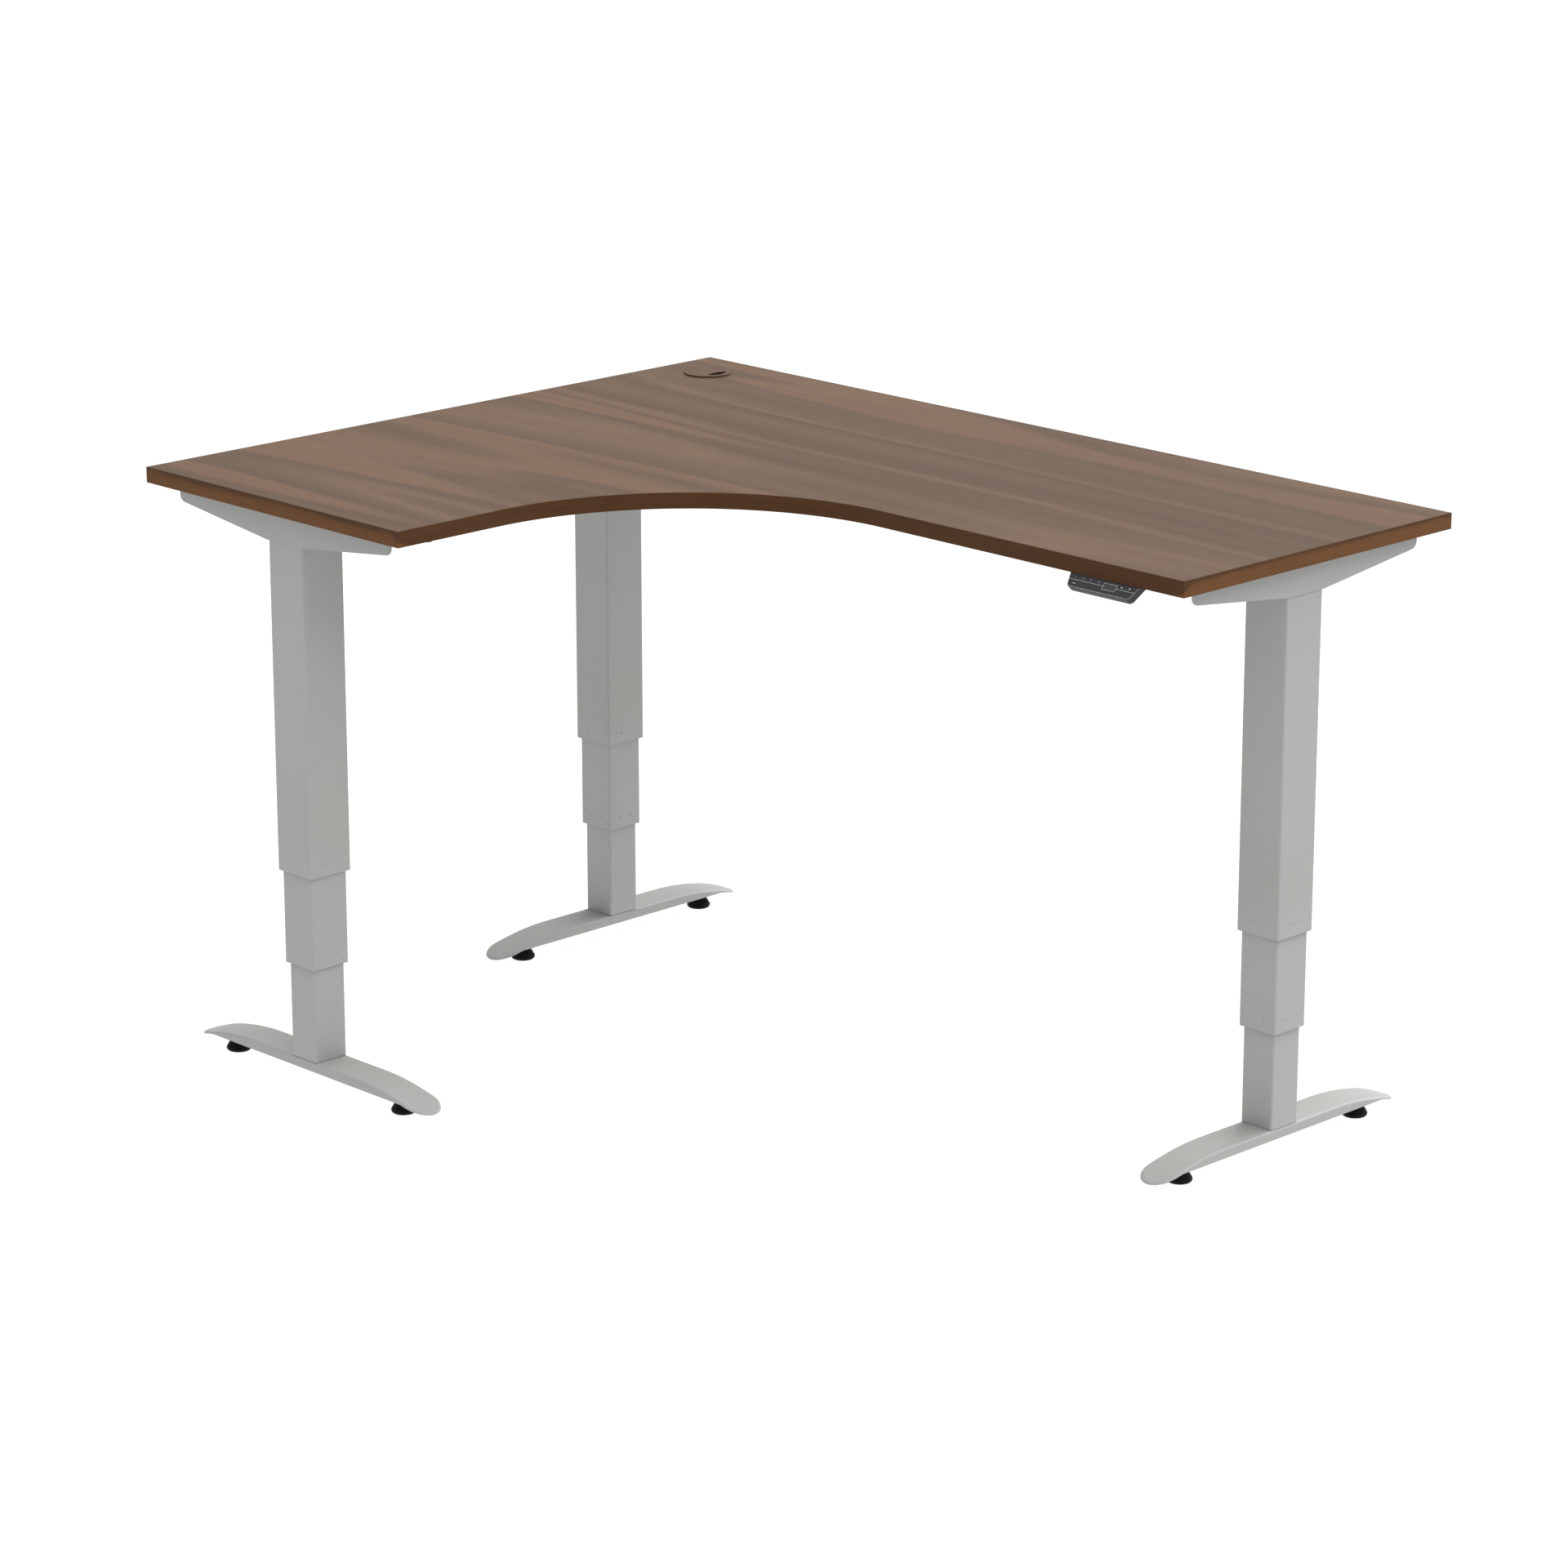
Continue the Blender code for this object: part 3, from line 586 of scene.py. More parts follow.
def inset(outline, distance):
    """The outline moved inwards, with its corners kept as mitres."""
    points = []
    for i, here in enumerate(outline):
        before = (here - outline[i - 1]).normalized()
        after = (outline[(i + 1) % len(outline)] - here).normalized()
        first = Vector((-before.y, before.x))
        second = Vector((-after.y, after.x))
        points.append(here + (first + second) * distance / (1 + first.dot(second)))
    return points


def shifted(outline, x, y):
    return [point + Vector((x, y)) for point in outline]


def at_height(outline, z):
    return [Vector((point.x, point.y, z)) for point in outline]


# Meshes

def cleaned(work):
    """Merges a bmesh's double points and turns its faces outwards."""
    bmesh.ops.remove_doubles(work, verts=work.verts, dist=MERGE_DISTANCE)
    bmesh.ops.recalc_face_normals(work, faces=work.faces)


def meshed(name, work):
    """The mesh of a bmesh, which is then freed."""
    mesh = bpy.data.meshes.new(name)
    work.to_mesh(mesh)
    work.free()
    return mesh


def loft(name, loops, ring=False, capped=True):
    """Bridges loops of equal length; ring joins the last to the first, capped fills both ends."""
    work = bmesh.new()
    rows = [[work.verts.new(point) for point in loop] for loop in loops]
    pairs = list(zip(rows, rows[1:]))
    if ring:
        pairs.append((rows[-1], rows[0]))
    elif capped:
        work.faces.new(reversed(rows[0]))
        work.faces.new(rows[-1])
    for low, high in pairs:
        for i, j in zip(range(len(low)), [*range(1, len(low)), 0]):
            work.faces.new((low[i], low[j], high[j], high[i]))
    cleaned(work)
    return meshed(name, work)


def prism(name, outline, low, high, edge=0.0):
    """An upright solid with its top and bottom edges rounded by edge."""
    loops = []
    for step in range(EDGE_STEPS + 1 if edge else 1):
        angle = QUARTER * step / EDGE_STEPS
        drawn_in = inset(outline, edge * (1 - math.sin(angle)))
        loops.append(at_height(drawn_in, low + edge * (1 - math.cos(angle))))
    mirrored = [[Vector((p.x, p.y, low + high - p.z)) for p in loop] for loop in reversed(loops)]
    return loft(name, loops + mirrored)


def ring_prism(name, outer, inner, low, high, rim=0.0):
    """An upright tube between two outlines of equal length, its four rims chamfered."""
    return loft(name, (
        at_height(inset(outer, rim), low),
        at_height(outer, low + rim),
        at_height(outer, high - rim),
        at_height(inset(outer, rim), high),
        at_height(inset(inner, -rim), high),
        at_height(inner, high - rim),
        at_height(inner, low + rim),
        at_height(inset(inner, -rim), low),
    ), ring=True)


def turned(name, profile, steps=ROUND_STEPS):
    """Turns a closed (radius, height) profile about Z."""
    return loft(name, [at_height(circle(radius, steps), height) for radius, height in profile], ring=True)


def softened(profile, radius):
    """A turned profile with its corners rounded, apart from those on its axis."""
    corners = [(x, y, radius if x > 0 else 0.0) for x, y in profile]
    return rounded(corners, EDGE_STEPS)


def plate(name, outlines, low, high):
    """An upright solid with holes: outlines after the first are cut through it."""
    curve = bpy.data.curves.new(name, "CURVE")
    curve.dimensions = "2D"
    curve.fill_mode = "BOTH"
    curve.extrude = (high - low) / 2
    for outline in outlines:
        spline = curve.splines.new("POLY")
        spline.points.add(len(outline) - 1)
        for point, place in zip(spline.points, outline):
            point.co = (place.x, place.y, 0.0, 1.0)
        spline.use_cyclic_u = True
    mesh = evaluated(linked(name, curve))
    mesh.transform(moved(z=(low + high) / 2))
    work = bmesh.new()
    work.from_mesh(mesh)
    cleaned(work)
    return meshed(name, work)


def linked(name, data):
    """A new object in the scene."""
    item = bpy.data.objects.new(name, data)
    bpy.context.scene.collection.objects.link(item)
    return item


def evaluated(item):
    """The evaluated mesh of an object, which is then removed."""
    graph = bpy.context.evaluated_depsgraph_get()
    mesh = bpy.data.meshes.new_from_object(item.evaluated_get(graph))
    bpy.data.objects.remove(item)
    mesh.materials.clear()
    return mesh


def carved(mesh, *cutters, joined=()):
    """The mesh united with the joined ones and then cut by the cutters, by Booleans."""
    blank = linked("blank", mesh)
    steps = [("UNION", tool) for tool in joined] + [("DIFFERENCE", tool) for tool in cutters]
    tools = []
    for operation, tool in steps:
        tools.append(linked("tool", tool))
        boolean = blank.modifiers.new(operation, "BOOLEAN")
        boolean.operation = operation
        boolean.object = tools[-1]
    result = evaluated(blank)
    for tool in tools:
        bpy.data.objects.remove(tool)
    return result


def merged(name, parts):
    """One mesh from (mesh, matrix) parts, which stay separate solids."""
    work = bmesh.new()
    for part, matrix in parts:
        copy = part.copy()
        copy.transform(matrix)
        work.from_mesh(copy)
        bpy.data.meshes.remove(copy)
    return meshed(name, work)


def box(name, low, high, edge=0.0):
    """A box between two corners, with all its edges rounded by edge."""
    low, high = Vector(low), Vector(high)
    size, centre = high - low, (high + low) / 2
    outline = shifted(rectangle(size.x, size.y, edge, EDGE_STEPS), centre.x, centre.y)
    return prism(name, outline, low.z, high.z, edge)


def moved(x=0.0, y=0.0, z=0.0):
    return Matrix.Translation((x, y, z))


def spun(angle, axis):
    return Matrix.Rotation(angle, 4, axis)


DOWNWARD = spun(HALF_TURN, "X")
ALONG_X = spun(QUARTER, "Z") @ spun(QUARTER, "X")


def add_piece(name, mesh, slot, body, replaces=(), matrix=STILL, look=None):
    """Puts a finished mesh in the scene, riding on its body; with no slot it has its own look."""
    if not mesh.materials:
        mesh.materials.append(look or LOOKS[slot])
        mesh.shade_smooth()
        mesh.set_sharp_from_angle(angle=SHARP_ANGLE)
    piece = linked(name, mesh)
    piece.matrix_world = matrix
    normals = piece.modifiers.new("normals", "WEIGHTED_NORMAL")
    normals.keep_sharp = True
    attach(piece, body)
    if replaces:
        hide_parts(*replaces)


# Fasteners

def socket_screw(radius, height, socket):
    """A round screw head on Z = 0 with a hexagon socket in its top."""
    edge = height * SCREW_EDGE
    rounds = (
        (radius, 0.0),
        (radius, height - edge),
        (radius - edge * 0.4, height - edge * 0.3),
        (radius - edge, height),
        (socket * HEXAGON_RIM, height),
    )
    loops = [at_height(circle(reach, SMALL_STEPS), level) for reach, level in rounds]
    levels = (height - HEXAGON_CHAMFER, height * HEXAGON_FLOOR)
    loops += [at_height(hexagon(socket), level) for level in levels]
    return loft("socket_screw", loops)


def washer_screw(radius, height, socket):
    """A socket screw standing on a flat washer."""
    rim, hole = (circle(radius * share, SMALL_STEPS) for share in (WASHER_REACH, WASHER_HOLE))
    washer = ring_prism("washer", rim, hole, 0.0, WASHER_THICKNESS, WASHER_RIM)
    head = socket_screw(radius, height, socket)
    return merged("washer_screw", ((washer, STILL), (head, moved(z=WASHER_THICKNESS))))


# The desktop

def desk_outline(distance):
    """The L with its round bay, moved inwards by distance."""
    right = BAND_HIGH.x - distance
    left = BAND_LOW.x + distance
    back = BAND_HIGH.y - distance
    front = BAND_LOW.y + distance
    bay_x = BAND_LOW.x + WING_DEPTH + BAY_RADIUS
    bay_y = BAND_HIGH.y - WING_DEPTH - BAY_RADIUS
    radius = BAY_RADIUS + distance
    points = [Vector((left, back)), Vector((left, front)), Vector((bay_x - radius, front))]
    for step in range(BAY_STEPS + 1):
        angle = HALF_TURN - QUARTER * step / BAY_STEPS
        points.append(Vector((bay_x, bay_y)) + polar(radius, angle))
    points.append(Vector((right, bay_y + radius)))
    points.append(Vector((right, back)))
    return points


def band_profile():
    """(inset, height) points round the strip's section, from its inner foot outwards."""
    arc = []
    for step in range(EDGE_STEPS + 1):
        angle = QUARTER * step / EDGE_STEPS
        arc.append((BAND_ROUND * (1 - math.cos(angle)), BAND_ROUND * (1 - math.sin(angle))))
    foot = [(depth, UNDERSIDE + rise) for depth, rise in reversed(arc)]
    top = [(depth, DESK_TOP - fall) for depth, fall in arc]
    return [(BAND_THICKNESS, UNDERSIDE), *foot, *top, (BAND_THICKNESS, DESK_TOP)]


def build_band():
    outline = desk_outline(0.0)
    mesh = loft("top_edging", [at_height(desk_outline(d), z) for d, z in band_profile()], ring=True)
    sides = list(zip(outline, outline[1:] + outline[:1]))
    starts = [0.0]
    for first, second in sides:
        starts.append(starts[-1] + (second - first).length)
    strip = mesh.uv_layers.new(name="strip")
    for face in mesh.polygons:
        column = face.index % len(outline)
        first, second = sides[column]
        ahead = (second - first).normalized()
        for corner in face.loop_indices:
            place = mesh.vertices[mesh.loops[corner].vertex_index].co
            along = (place.to_2d() - first).dot(ahead)
            depth = min((place.to_2d() - (first + ahead * along)).length, BAND_THICKNESS)
            strip.data[corner].uv = (starts[column] + along, place.z - UNDERSIDE + depth)
    add_piece("top_edging", mesh, "edge_band", "top", ("edge_band",))


def build_board():
    centre = (GROMMET.x, GROMMET.y)
    hole = shifted(circle(SLEEVE_RADIUS + GAP), *centre)
    seat = shifted(circle(FLANGE_RADIUS + GAP), *centre)
    board = plate("top_board", [desk_outline(BAND_THICKNESS), hole], UNDERSIDE, DESK_TOP)
    rebate = prism("rebate", seat, DESK_TOP - REBATE_DEPTH, DESK_TOP + FAR)
    add_piece("top_board", carved(board, rebate), "walnut_laminate", "top", ("tabletop",))


# The grommet

def slot_outline():
    """A lens between two arcs, close to the cover's +X rim."""
    centre, outer, inner = SLOT_INNER_CENTRE, SLOT_OUTER_RADIUS, SLOT_INNER_RADIUS
    cross = (centre ** 2 + outer ** 2 - inner ** 2) / (2 * centre)
    outer_half = math.acos(cross / outer)
    inner_half = math.acos((centre - cross) / inner)
    shares = [2 * step / SLOT_STEPS - 1 for step in range(SLOT_STEPS)]
    points = [polar(outer, outer_half * share) for share in shares]
    return points + [Vector((centre, 0.0)) - polar(inner, inner_half * share) for share in shares]


def build_grommet():
    place = moved(GROMMET.x, GROMMET.y)
    rim = SLEEVE_TOP
    seat = DESK_TOP - REBATE_DEPTH + GAP
    sleeve = turned("grommet_ring", softened((
        (SLEEVE_BORE, rim),
        (FLANGE_RADIUS, rim),
        (FLANGE_RADIUS, seat),
        (SLEEVE_RADIUS, seat),
        (SLEEVE_RADIUS, UNDERSIDE),
        (SLEEVE_BORE, UNDERSIDE),
    ), GROMMET_EDGE))
    add_piece("grommet_ring", sleeve, "grommet_plastic", "top", ("grommet_sleeve",), place)
    top = COVER_HIGH.z
    bottom = rim + GAP
    boss = SLEEVE_BORE - GAP
    disc = turned("grommet_lid", softened((
        (0.0, top),
        (FLANGE_RADIUS, top),
        (FLANGE_RADIUS, bottom),
        (boss, bottom),
        (boss, bottom - COVER_BOSS),
        (boss - BOSS_WALL, bottom - COVER_BOSS),
        (boss - BOSS_WALL, bottom),
        (0.0, bottom),
    ), GROMMET_EDGE))
    slot = prism("slot", slot_outline(), bottom - 2 * COVER_BOSS, top + COVER_BOSS)
    add_piece("grommet_lid", carved(disc, slot), "grommet_plastic", "cover", ("grommet_cover",), place)
    # A near-black sheet inside the sleeve's bore is painted shade: it darkens the hollow seen through the
    # lid's slot
    shade_liner_top = bottom - COVER_BOSS - GAP
    outer, inner = circle(SLEEVE_BORE - SHADE_LINER_GAP), circle(SLEEVE_BORE - SHADE_LINER_THICKNESS)
    shade_liner = ring_prism("grommet_shade_liner", outer, inner, UNDERSIDE + SHADE_LINER_THICKNESS, shade_liner_top, GROMMET_EDGE)
    add_piece("grommet_shade_liner", shade_liner, None, "top", (), place, DARK_PLASTIC_AND_SHADE)


# The columns

def column_place(column):
    low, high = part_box(f"outer_tube_{column}")
    centre = (low + high) / 2
    return moved(centre.x, centre.y) @ spun(TURNS[column], "Z")


def tube(name, node, dimples=False):
    """A square tube with the CAD node's size and height, on the column's axis."""
    low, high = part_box(node)
    size = high.x - low.x
    bore = size - 2 * TUBE_WALL
    outer = rectangle(size, size, TUBE_CORNER)
    inner = rectangle(bore, bore, TUBE_CORNER - TUBE_WALL)
    mesh = ring_prism(name, outer, inner, low.z, high.z, TUBE_RIM)
    if not dimples:
        return mesh
    ball_radius = (DIMPLE_RADIUS ** 2 + DIMPLE_DEPTH ** 2) / (2 * DIMPLE_DEPTH)
    reach = size / 2 + ball_radius - DIMPLE_DEPTH
    balls = []
    for face in range(4):
        for side in (-DIMPLE_SPREAD, DIMPLE_SPREAD):
            spot = spun(QUARTER * face, "Z") @ moved(reach, side, low.z + DIMPLE_HEIGHT)
            balls.append(ball("dimple", ball_radius, spot))
    return carved(mesh, *balls)


def ball(name, radius, matrix):
    work = bmesh.new()
    around, up = BALL_STEPS
    bmesh.ops.create_uvsphere(work, u_segments=around, v_segments=up, radius=radius, matrix=matrix)
    return meshed(name, work)


def bracket_section(x, low):
    """The folded channel's cut at x, where its near flange reaches down to low."""
    share = max(abs(x) - BRACKET_FLAT, 0.0) / (BRACKET_HALF_LENGTH - BRACKET_FLAT)
    far_low = low + BRACKET_FAR_RISE * share
    outer, inner = BRACKET_HALF_WIDTH, BRACKET_HALF_WIDTH - BRACKET_SHEET
    web = UNDERSIDE - BRACKET_SHEET
    bend = BRACKET_FOLD - BRACKET_SHEET
    outline = rounded((
        (outer, far_low, 0.0),
        (outer, UNDERSIDE, BRACKET_FOLD),
        (-outer, UNDERSIDE, BRACKET_FOLD),
        (-outer, low, 0.0),
        (-inner, low, 0.0),
        (-inner, web, bend),
        (inner, web, bend),
        (inner, far_low, 0.0),
    ))
    return [Vector((x, y, z)) for y, z in outline]


def bracket():
    end_low = UNDERSIDE - BRACKET_END_DEPTH
    low = UNDERSIDE - BRACKET_DEPTH
    length = BRACKET_HALF_LENGTH
    outline = rounded((
        (-length, end_low, BRACKET_END_RADIUS),
        (-BRACKET_FLAT, low, BRACKET_BEND_RADIUS),
        (BRACKET_FLAT, low, BRACKET_BEND_RADIUS),
        (length, end_low, BRACKET_END_RADIUS),
        (length, UNDERSIDE, 0.0),
        (-length, UNDERSIDE, 0.0),
    ), BRACKET_STEPS)
    lower_edge = outline[:-2]
    return loft("bracket", [bracket_section(point.x, point.y) for point in lower_edge])


def bracket_screws(place):
    """Screws up through the bracket's web, left out where the grommet is."""
    screw = washer_screw(*FRAME_SCREW)
    web = UNDERSIDE - BRACKET_SHEET
    spots = []
    for x, y in BRACKET_SCREWS:
        for spot in ((x, y), (-x, y), (x, -y), (-x, -y)):
            there = place @ Vector((*spot, web))
            if (there - GROMMET).to_2d().length > SLEEVE_RADIUS + SCREW_CLEARANCE:
                spots.append((screw, moved(*spot, web) @ DOWNWARD))
    return merged("bracket_screws", spots)


def gear_housing():
    """A ribbed gearbox block between a base and a lid."""
    low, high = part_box("gear_motor_wing")
    lid, base = high.z - GEAR_LID, low.z + GEAR_BASE
    cover = rectangle(*GEAR_COVER)
    block_edge, cover_edge, rib_edge = GEAR_EDGES
    parts = [
        (prism("block", rectangle(*GEAR_BODY), base, lid, block_edge), STILL),
        (prism("lid", cover, lid - GEAR_LAP, high.z, cover_edge), STILL),
        (prism("base", cover, low.z, base + GEAR_LAP, cover_edge), STILL),
    ]
    x, y = GEAR_RIB[0] / 2, GEAR_RIB[1] / 2
    above, below = GEAR_RIB_ENDS
    rib = box("rib", (-x, -y, base + above), (x, y, lid - below), rib_edge)
    parts += [(rib, moved(GEAR_RIB_PITCH * place)) for place in range(-2, 3)]
    return merged("gear_housing", parts)


def motor_can():
    """A drawn motor can with a rolled seam and an end bell, lying along local X."""
    low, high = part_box("gear_motor_wing")
    end = high.x - column_place("wing").translation.x - CAN_START
    radius = CAN_RADIUS
    mesh = turned("motor_can", (
        (0.0, 0.0), (radius - 0.001, 0.0), (radius - 0.001, 0.006), (radius, 0.0066),
        (radius, end - 0.014), (radius - 0.0007, end - 0.0134), (radius - 0.0007, end - 0.0126),
        (radius, end - 0.012), (radius, end - 0.003), (radius - 0.0022, end - 0.0006),
        (0.0075, end - 0.0006), (0.0068, end), (0.0, end),
    ))
    mesh.transform(moved(CAN_START, 0.0, (low.z + high.z) / 2) @ spun(QUARTER, "Y"))
    return mesh


def four_screws(name, screw, spot, level):
    """Four screws that point up, at both signs of a spot's x and y."""
    spots = [(x, y) for x in (-spot[0], spot[0]) for y in (-spot[1], spot[1])]
    return merged(name, [(screw, moved(x, y, level) @ DOWNWARD) for x, y in spots])


# The feet

def foot_top(x):
    past = max(abs(x) - FOOT_FLAT, 0.0)
    return FOOT_TOP - (FOOT_ARC - math.sqrt(FOOT_ARC ** 2 - past ** 2))


def foot_bottom(x):
    return min(FOOT_WALL_BOTTOM, foot_top(x) - FOOT_PLATE)


def foot_ceiling(x):
    """The hollow under the foot, which closes towards each tip."""
    share = min(max((abs(x) - FOOT_HOLLOW) / (FOOT_HOLLOW_END - FOOT_HOLLOW), 0.0), 1.0)
    return foot_top(x) - FOOT_SHEET - (FOOT_PLATE - FOOT_SHEET) * share


def foot_edge(x):
    """How far down the sides the rounding of the top edge reaches."""
    return min(FOOT_EDGE, FOOT_EDGE_SHARE * (foot_top(x) - foot_bottom(x)))


def foot_plan(distance):
    """The foot from above, with half-elliptical tips, moved inwards by distance."""
    half = FOOT_WIDTH / 2 - distance
    tip = FOOT_TIP - distance
    start = FOOT_HALF_LENGTH - FOOT_TIP
    points = []
    for side in (1, -1):
        for step in range(FOOT_STATIONS):
            points.append(Vector((side * start * (2 * step / FOOT_STATIONS - 1), -side * half)))
        for step in range(FOOT_TIP_STEPS):
            angle = HALF_TURN * step / FOOT_TIP_STEPS - QUARTER
            points.append(side * Vector((start + tip * math.cos(angle), half * math.sin(angle))))
    return points


def foot_ring(distance, height):
    return [Vector((point.x, point.y, height(point.x))) for point in foot_plan(distance)]


def foot_shell():
    """A pressed channel, open below, with a soft top edge and closed, spoon-shaped tips."""
    half = FOOT_WIDTH / 2
    loops = []
    for share in (1.0, 0.75, 0.5, 0.25):
        distance = FOOT_SHEET + (half - FOOT_SHEET) * share
        loops.append(foot_ring(distance, foot_ceiling))
    loops.append(foot_ring(FOOT_SHEET, foot_ceiling))
    loops.append(foot_ring(FOOT_SHEET, foot_bottom))
    loops.append(foot_ring(FOOT_RIM, foot_bottom))
    loops.append(foot_ring(0.0, lambda x: foot_bottom(x) + FOOT_RIM))
    for step in range(CORNER_STEPS + 1):
        angle = QUARTER * step / CORNER_STEPS
        share = 1 - math.sin(angle)
        distance = FOOT_EDGE * (1 - math.cos(angle))
        loops.append(foot_ring(distance, lambda x, share=share: foot_top(x) - foot_edge(x) * share))
    for share in (0.2, 0.4, 0.6, 0.8, 1.0):
        loops.append(foot_ring(FOOT_EDGE + (half - FOOT_EDGE) * share, foot_top))
    return loft("foot_shell", loops, capped=False)


def pad_inserts():
    """The threaded hexagon bushes that hold the pads' studs."""
    outer = hexagon(INSERT_RADIUS)
    bore = circle(INSERT_BORE, SMALL_STEPS)
    low = FOOT_WALL_BOTTOM + 0.0006
    high = foot_ceiling(PAD_OFFSET) + 0.0004
    bush = ring_prism("insert", outer, bore, low, high, INSERT_RIM)
    return merged("pad_inserts", [(bush, moved(x)) for x in (-PAD_OFFSET, PAD_OFFSET)])


def pad_stud():
    """A threaded stud, its thread as fine rings."""
    profile = [(0.0, STUD_LOW), (STUD_CREST, STUD_LOW)]
    height, end = STUD_THREAD
    while height < end:
        profile += [(STUD_CREST, height), (STUD_ROOT, height + STUD_PITCH / 2)]
        height += STUD_PITCH
    profile += [(STUD_ROOT, STUD_TOP), (0.0, STUD_TOP)]
    return turned("pad_stud", profile, SMALL_STEPS)


def thread(turns):
    """How deep a trapezoidal thread is cut, from 0 to 1, some turns along it."""
    return min(max(1.5 - abs(turns % 1.0 - 0.5) * 6, 0.0), 1.0)


def spindle(node, bore):
    """A trapezoidal lead screw with the CAD node's size, hollow where bore isn't 0."""
    low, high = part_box(node)
    radius = (high.x - low.x) / 2
    length = high.z - low.z
    rows = int(length / LEAD * ROWS_PER_TURN)
    loops = []
    for row in range(rows + 1):
        height = length * row / rows
        loop = []
        for step in range(THREAD_STEPS):
            share = step / THREAD_STEPS
            loop.append(polar(radius - THREAD_DEPTH * thread(height / LEAD - share), math.tau * share))
        loops.append(at_height(loop, low.z + height))
    if not bore:
        return loft("spindle", loops)
    hole = circle(bore, THREAD_STEPS)
    return loft("spindle", [*loops, at_height(hole, high.z), at_height(hole, low.z)], ring=True)


def build_columns():
    channel = bracket()
    outer = tube("outer_tube", "outer_tube_wing", dimples=True)
    middle = tube("middle_tube", "middle_tube_wing", dimples=True)
    inner = tube("inner_tube", "inner_tube_wing")
    housing, can = gear_housing(), motor_can()
    gear_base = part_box("gear_motor_wing")[0].z + GEAR_SCREW_RISE
    case_screws = four_screws("gear_screws", socket_screw(*GEAR_SCREW), GEAR_SCREW_SPOT, gear_base)
    shell, inserts = foot_shell(), pad_inserts()
    bolts = four_screws("foot_bolts", washer_screw(*FOOT_BOLT), FOOT_BOLT_SPOT, FOOT_TOP - FOOT_SHEET)
    base, stud = turned("pad_base", PAD_PROFILE), pad_stud()
    spindles = {
        "upper": spindle("upper_screw_wing", 0.0),
        "lower": spindle("lower_screw_wing", LOWER_SCREW_BORE),
    }
    for column in TURNS:
        place = column_place(column)
        foot = f"{column}_foot"
        pieces = (
            ("channel", channel, "powder_coat", "top", "support_bracket"),
            ("channel_screws", bracket_screws(place), "bright_steel", "top", None),
            ("gearbox", housing, "cast_motor", "top", "gear_motor"),
            ("motor_can", can, "bright_steel", "top", None),
            ("gearbox_screws", case_screws, "bright_steel", "top", None),
            ("upper_leg", outer, "powder_coat", "top", "outer_tube"),
            ("middle_leg", middle, "powder_coat", f"{column}_middle", "middle_tube"),
            ("lower_leg", inner, "powder_coat", foot, "inner_tube"),
            ("foot_shell", shell, "powder_coat", foot, "foot_beam"),
            ("foot_bolts", bolts, "bright_steel", foot, None),
            ("pad_inserts", inserts, "bright_steel", foot, None),
        )
        for name, mesh, slot, body, node in pieces:
            replaced = (f"{node}_{column}",) if node else ()
            add_piece(f"{column}_{name}", mesh, slot, body, replaced, place)
        for stage, screw in spindles.items():
            body = f"{column}_{stage}_screw"
            add_piece(f"{body}_thread", screw, "bright_steel", body, (f"{stage}_screw_{column}",), place)
        for side, offset in (("a", -PAD_OFFSET), ("b", PAD_OFFSET)):
            body = f"{column}_pad_{side}"
            node = f"levelling_pad_{column}_{side}"
            spot = place @ moved(offset)
            add_piece(f"{body}_base", base, "pad_polymer", body, (node,), spot)
            add_piece(f"{body}_stud", stud, "bright_steel", body, (), spot)


# Rails and control box

def build_rails():
    """Rectangular tubes that fill their nodes' boxes, with screws up through both ends."""
    screw = washer_screw(*FRAME_SCREW)
    for node, turn in (("main_rail_front", 0.0), ("main_rail_back", 0.0), ("wing_rail", QUARTER)):
        low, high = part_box(node)
        size, centre = high - low, (high + low) / 2
        length, width = (size.y, size.x) if turn else (size.x, size.y)
        outer = rectangle(width, size.z, RAIL_CORNER, RAIL_STEPS)
        inner = rectangle(width - 2 * RAIL_WALL, size.z - 2 * RAIL_WALL, RAIL_CORNER - RAIL_WALL, RAIL_STEPS)
        mesh = ring_prism("rail", outer, inner, -length / 2, length / 2, RAIL_RIM)
        mesh.transform(moved(*centre) @ spun(turn, "Z") @ ALONG_X)
        add_piece(f"{node}_tube", mesh, "powder_coat", "top", (node,))
        under = moved(centre.x, centre.y, low.z) @ spun(turn, "Z")
        spots = [end * (length / 2 - inwards) for end in (-1, 1) for inwards in RAIL_SCREWS]
        screws = merged("rail_screws", [(screw, under @ moved(x) @ DOWNWARD) for x in spots])
        add_piece(f"{node}_screws", screws, "bright_steel", "top")


def bar(name, ends, place, section, edge=0.0):
    """A box between two ends along X, with a (width, height) section round its (y, z) place."""
    (start, end), (y, z), (width, height) = ends, place, section
    low, high = (start, y - width / 2, z - height / 2), (end, y + width / 2, z + height / 2)
    return box(name, low, high, edge)


def socket_block(name, hole, hole_depth, pins, pin_size):
    """A connector insert that fits a hole, with its mouth on X = 0, open towards +X."""
    width, height, depth = hole[0] - 2 * GAP, hole[1] - 2 * GAP, hole_depth - 5 * GAP
    outer_corner, inner_corner = SOCKET_CORNERS
    outer = rectangle(width, height, outer_corner, SOCKET_STEPS)
    inner = rectangle(width - 2 * SOCKET_WALL, height - 2 * SOCKET_WALL, inner_corner, SOCKET_STEPS)
    shell = ring_prism(name, outer, inner, -depth, SOCKET_LIP, SOCKET_EDGE)
    behind, before = SOCKET_BACK
    back = prism(name, outer, -depth - behind, -depth + before)
    parts = [(shell, ALONG_X), (back, ALONG_X)]
    parts += [(bar("pin", (-depth, -PIN_SETBACK), pin, pin_size, SOCKET_EDGE), STILL) for pin in pins]
    return merged(name, parts)


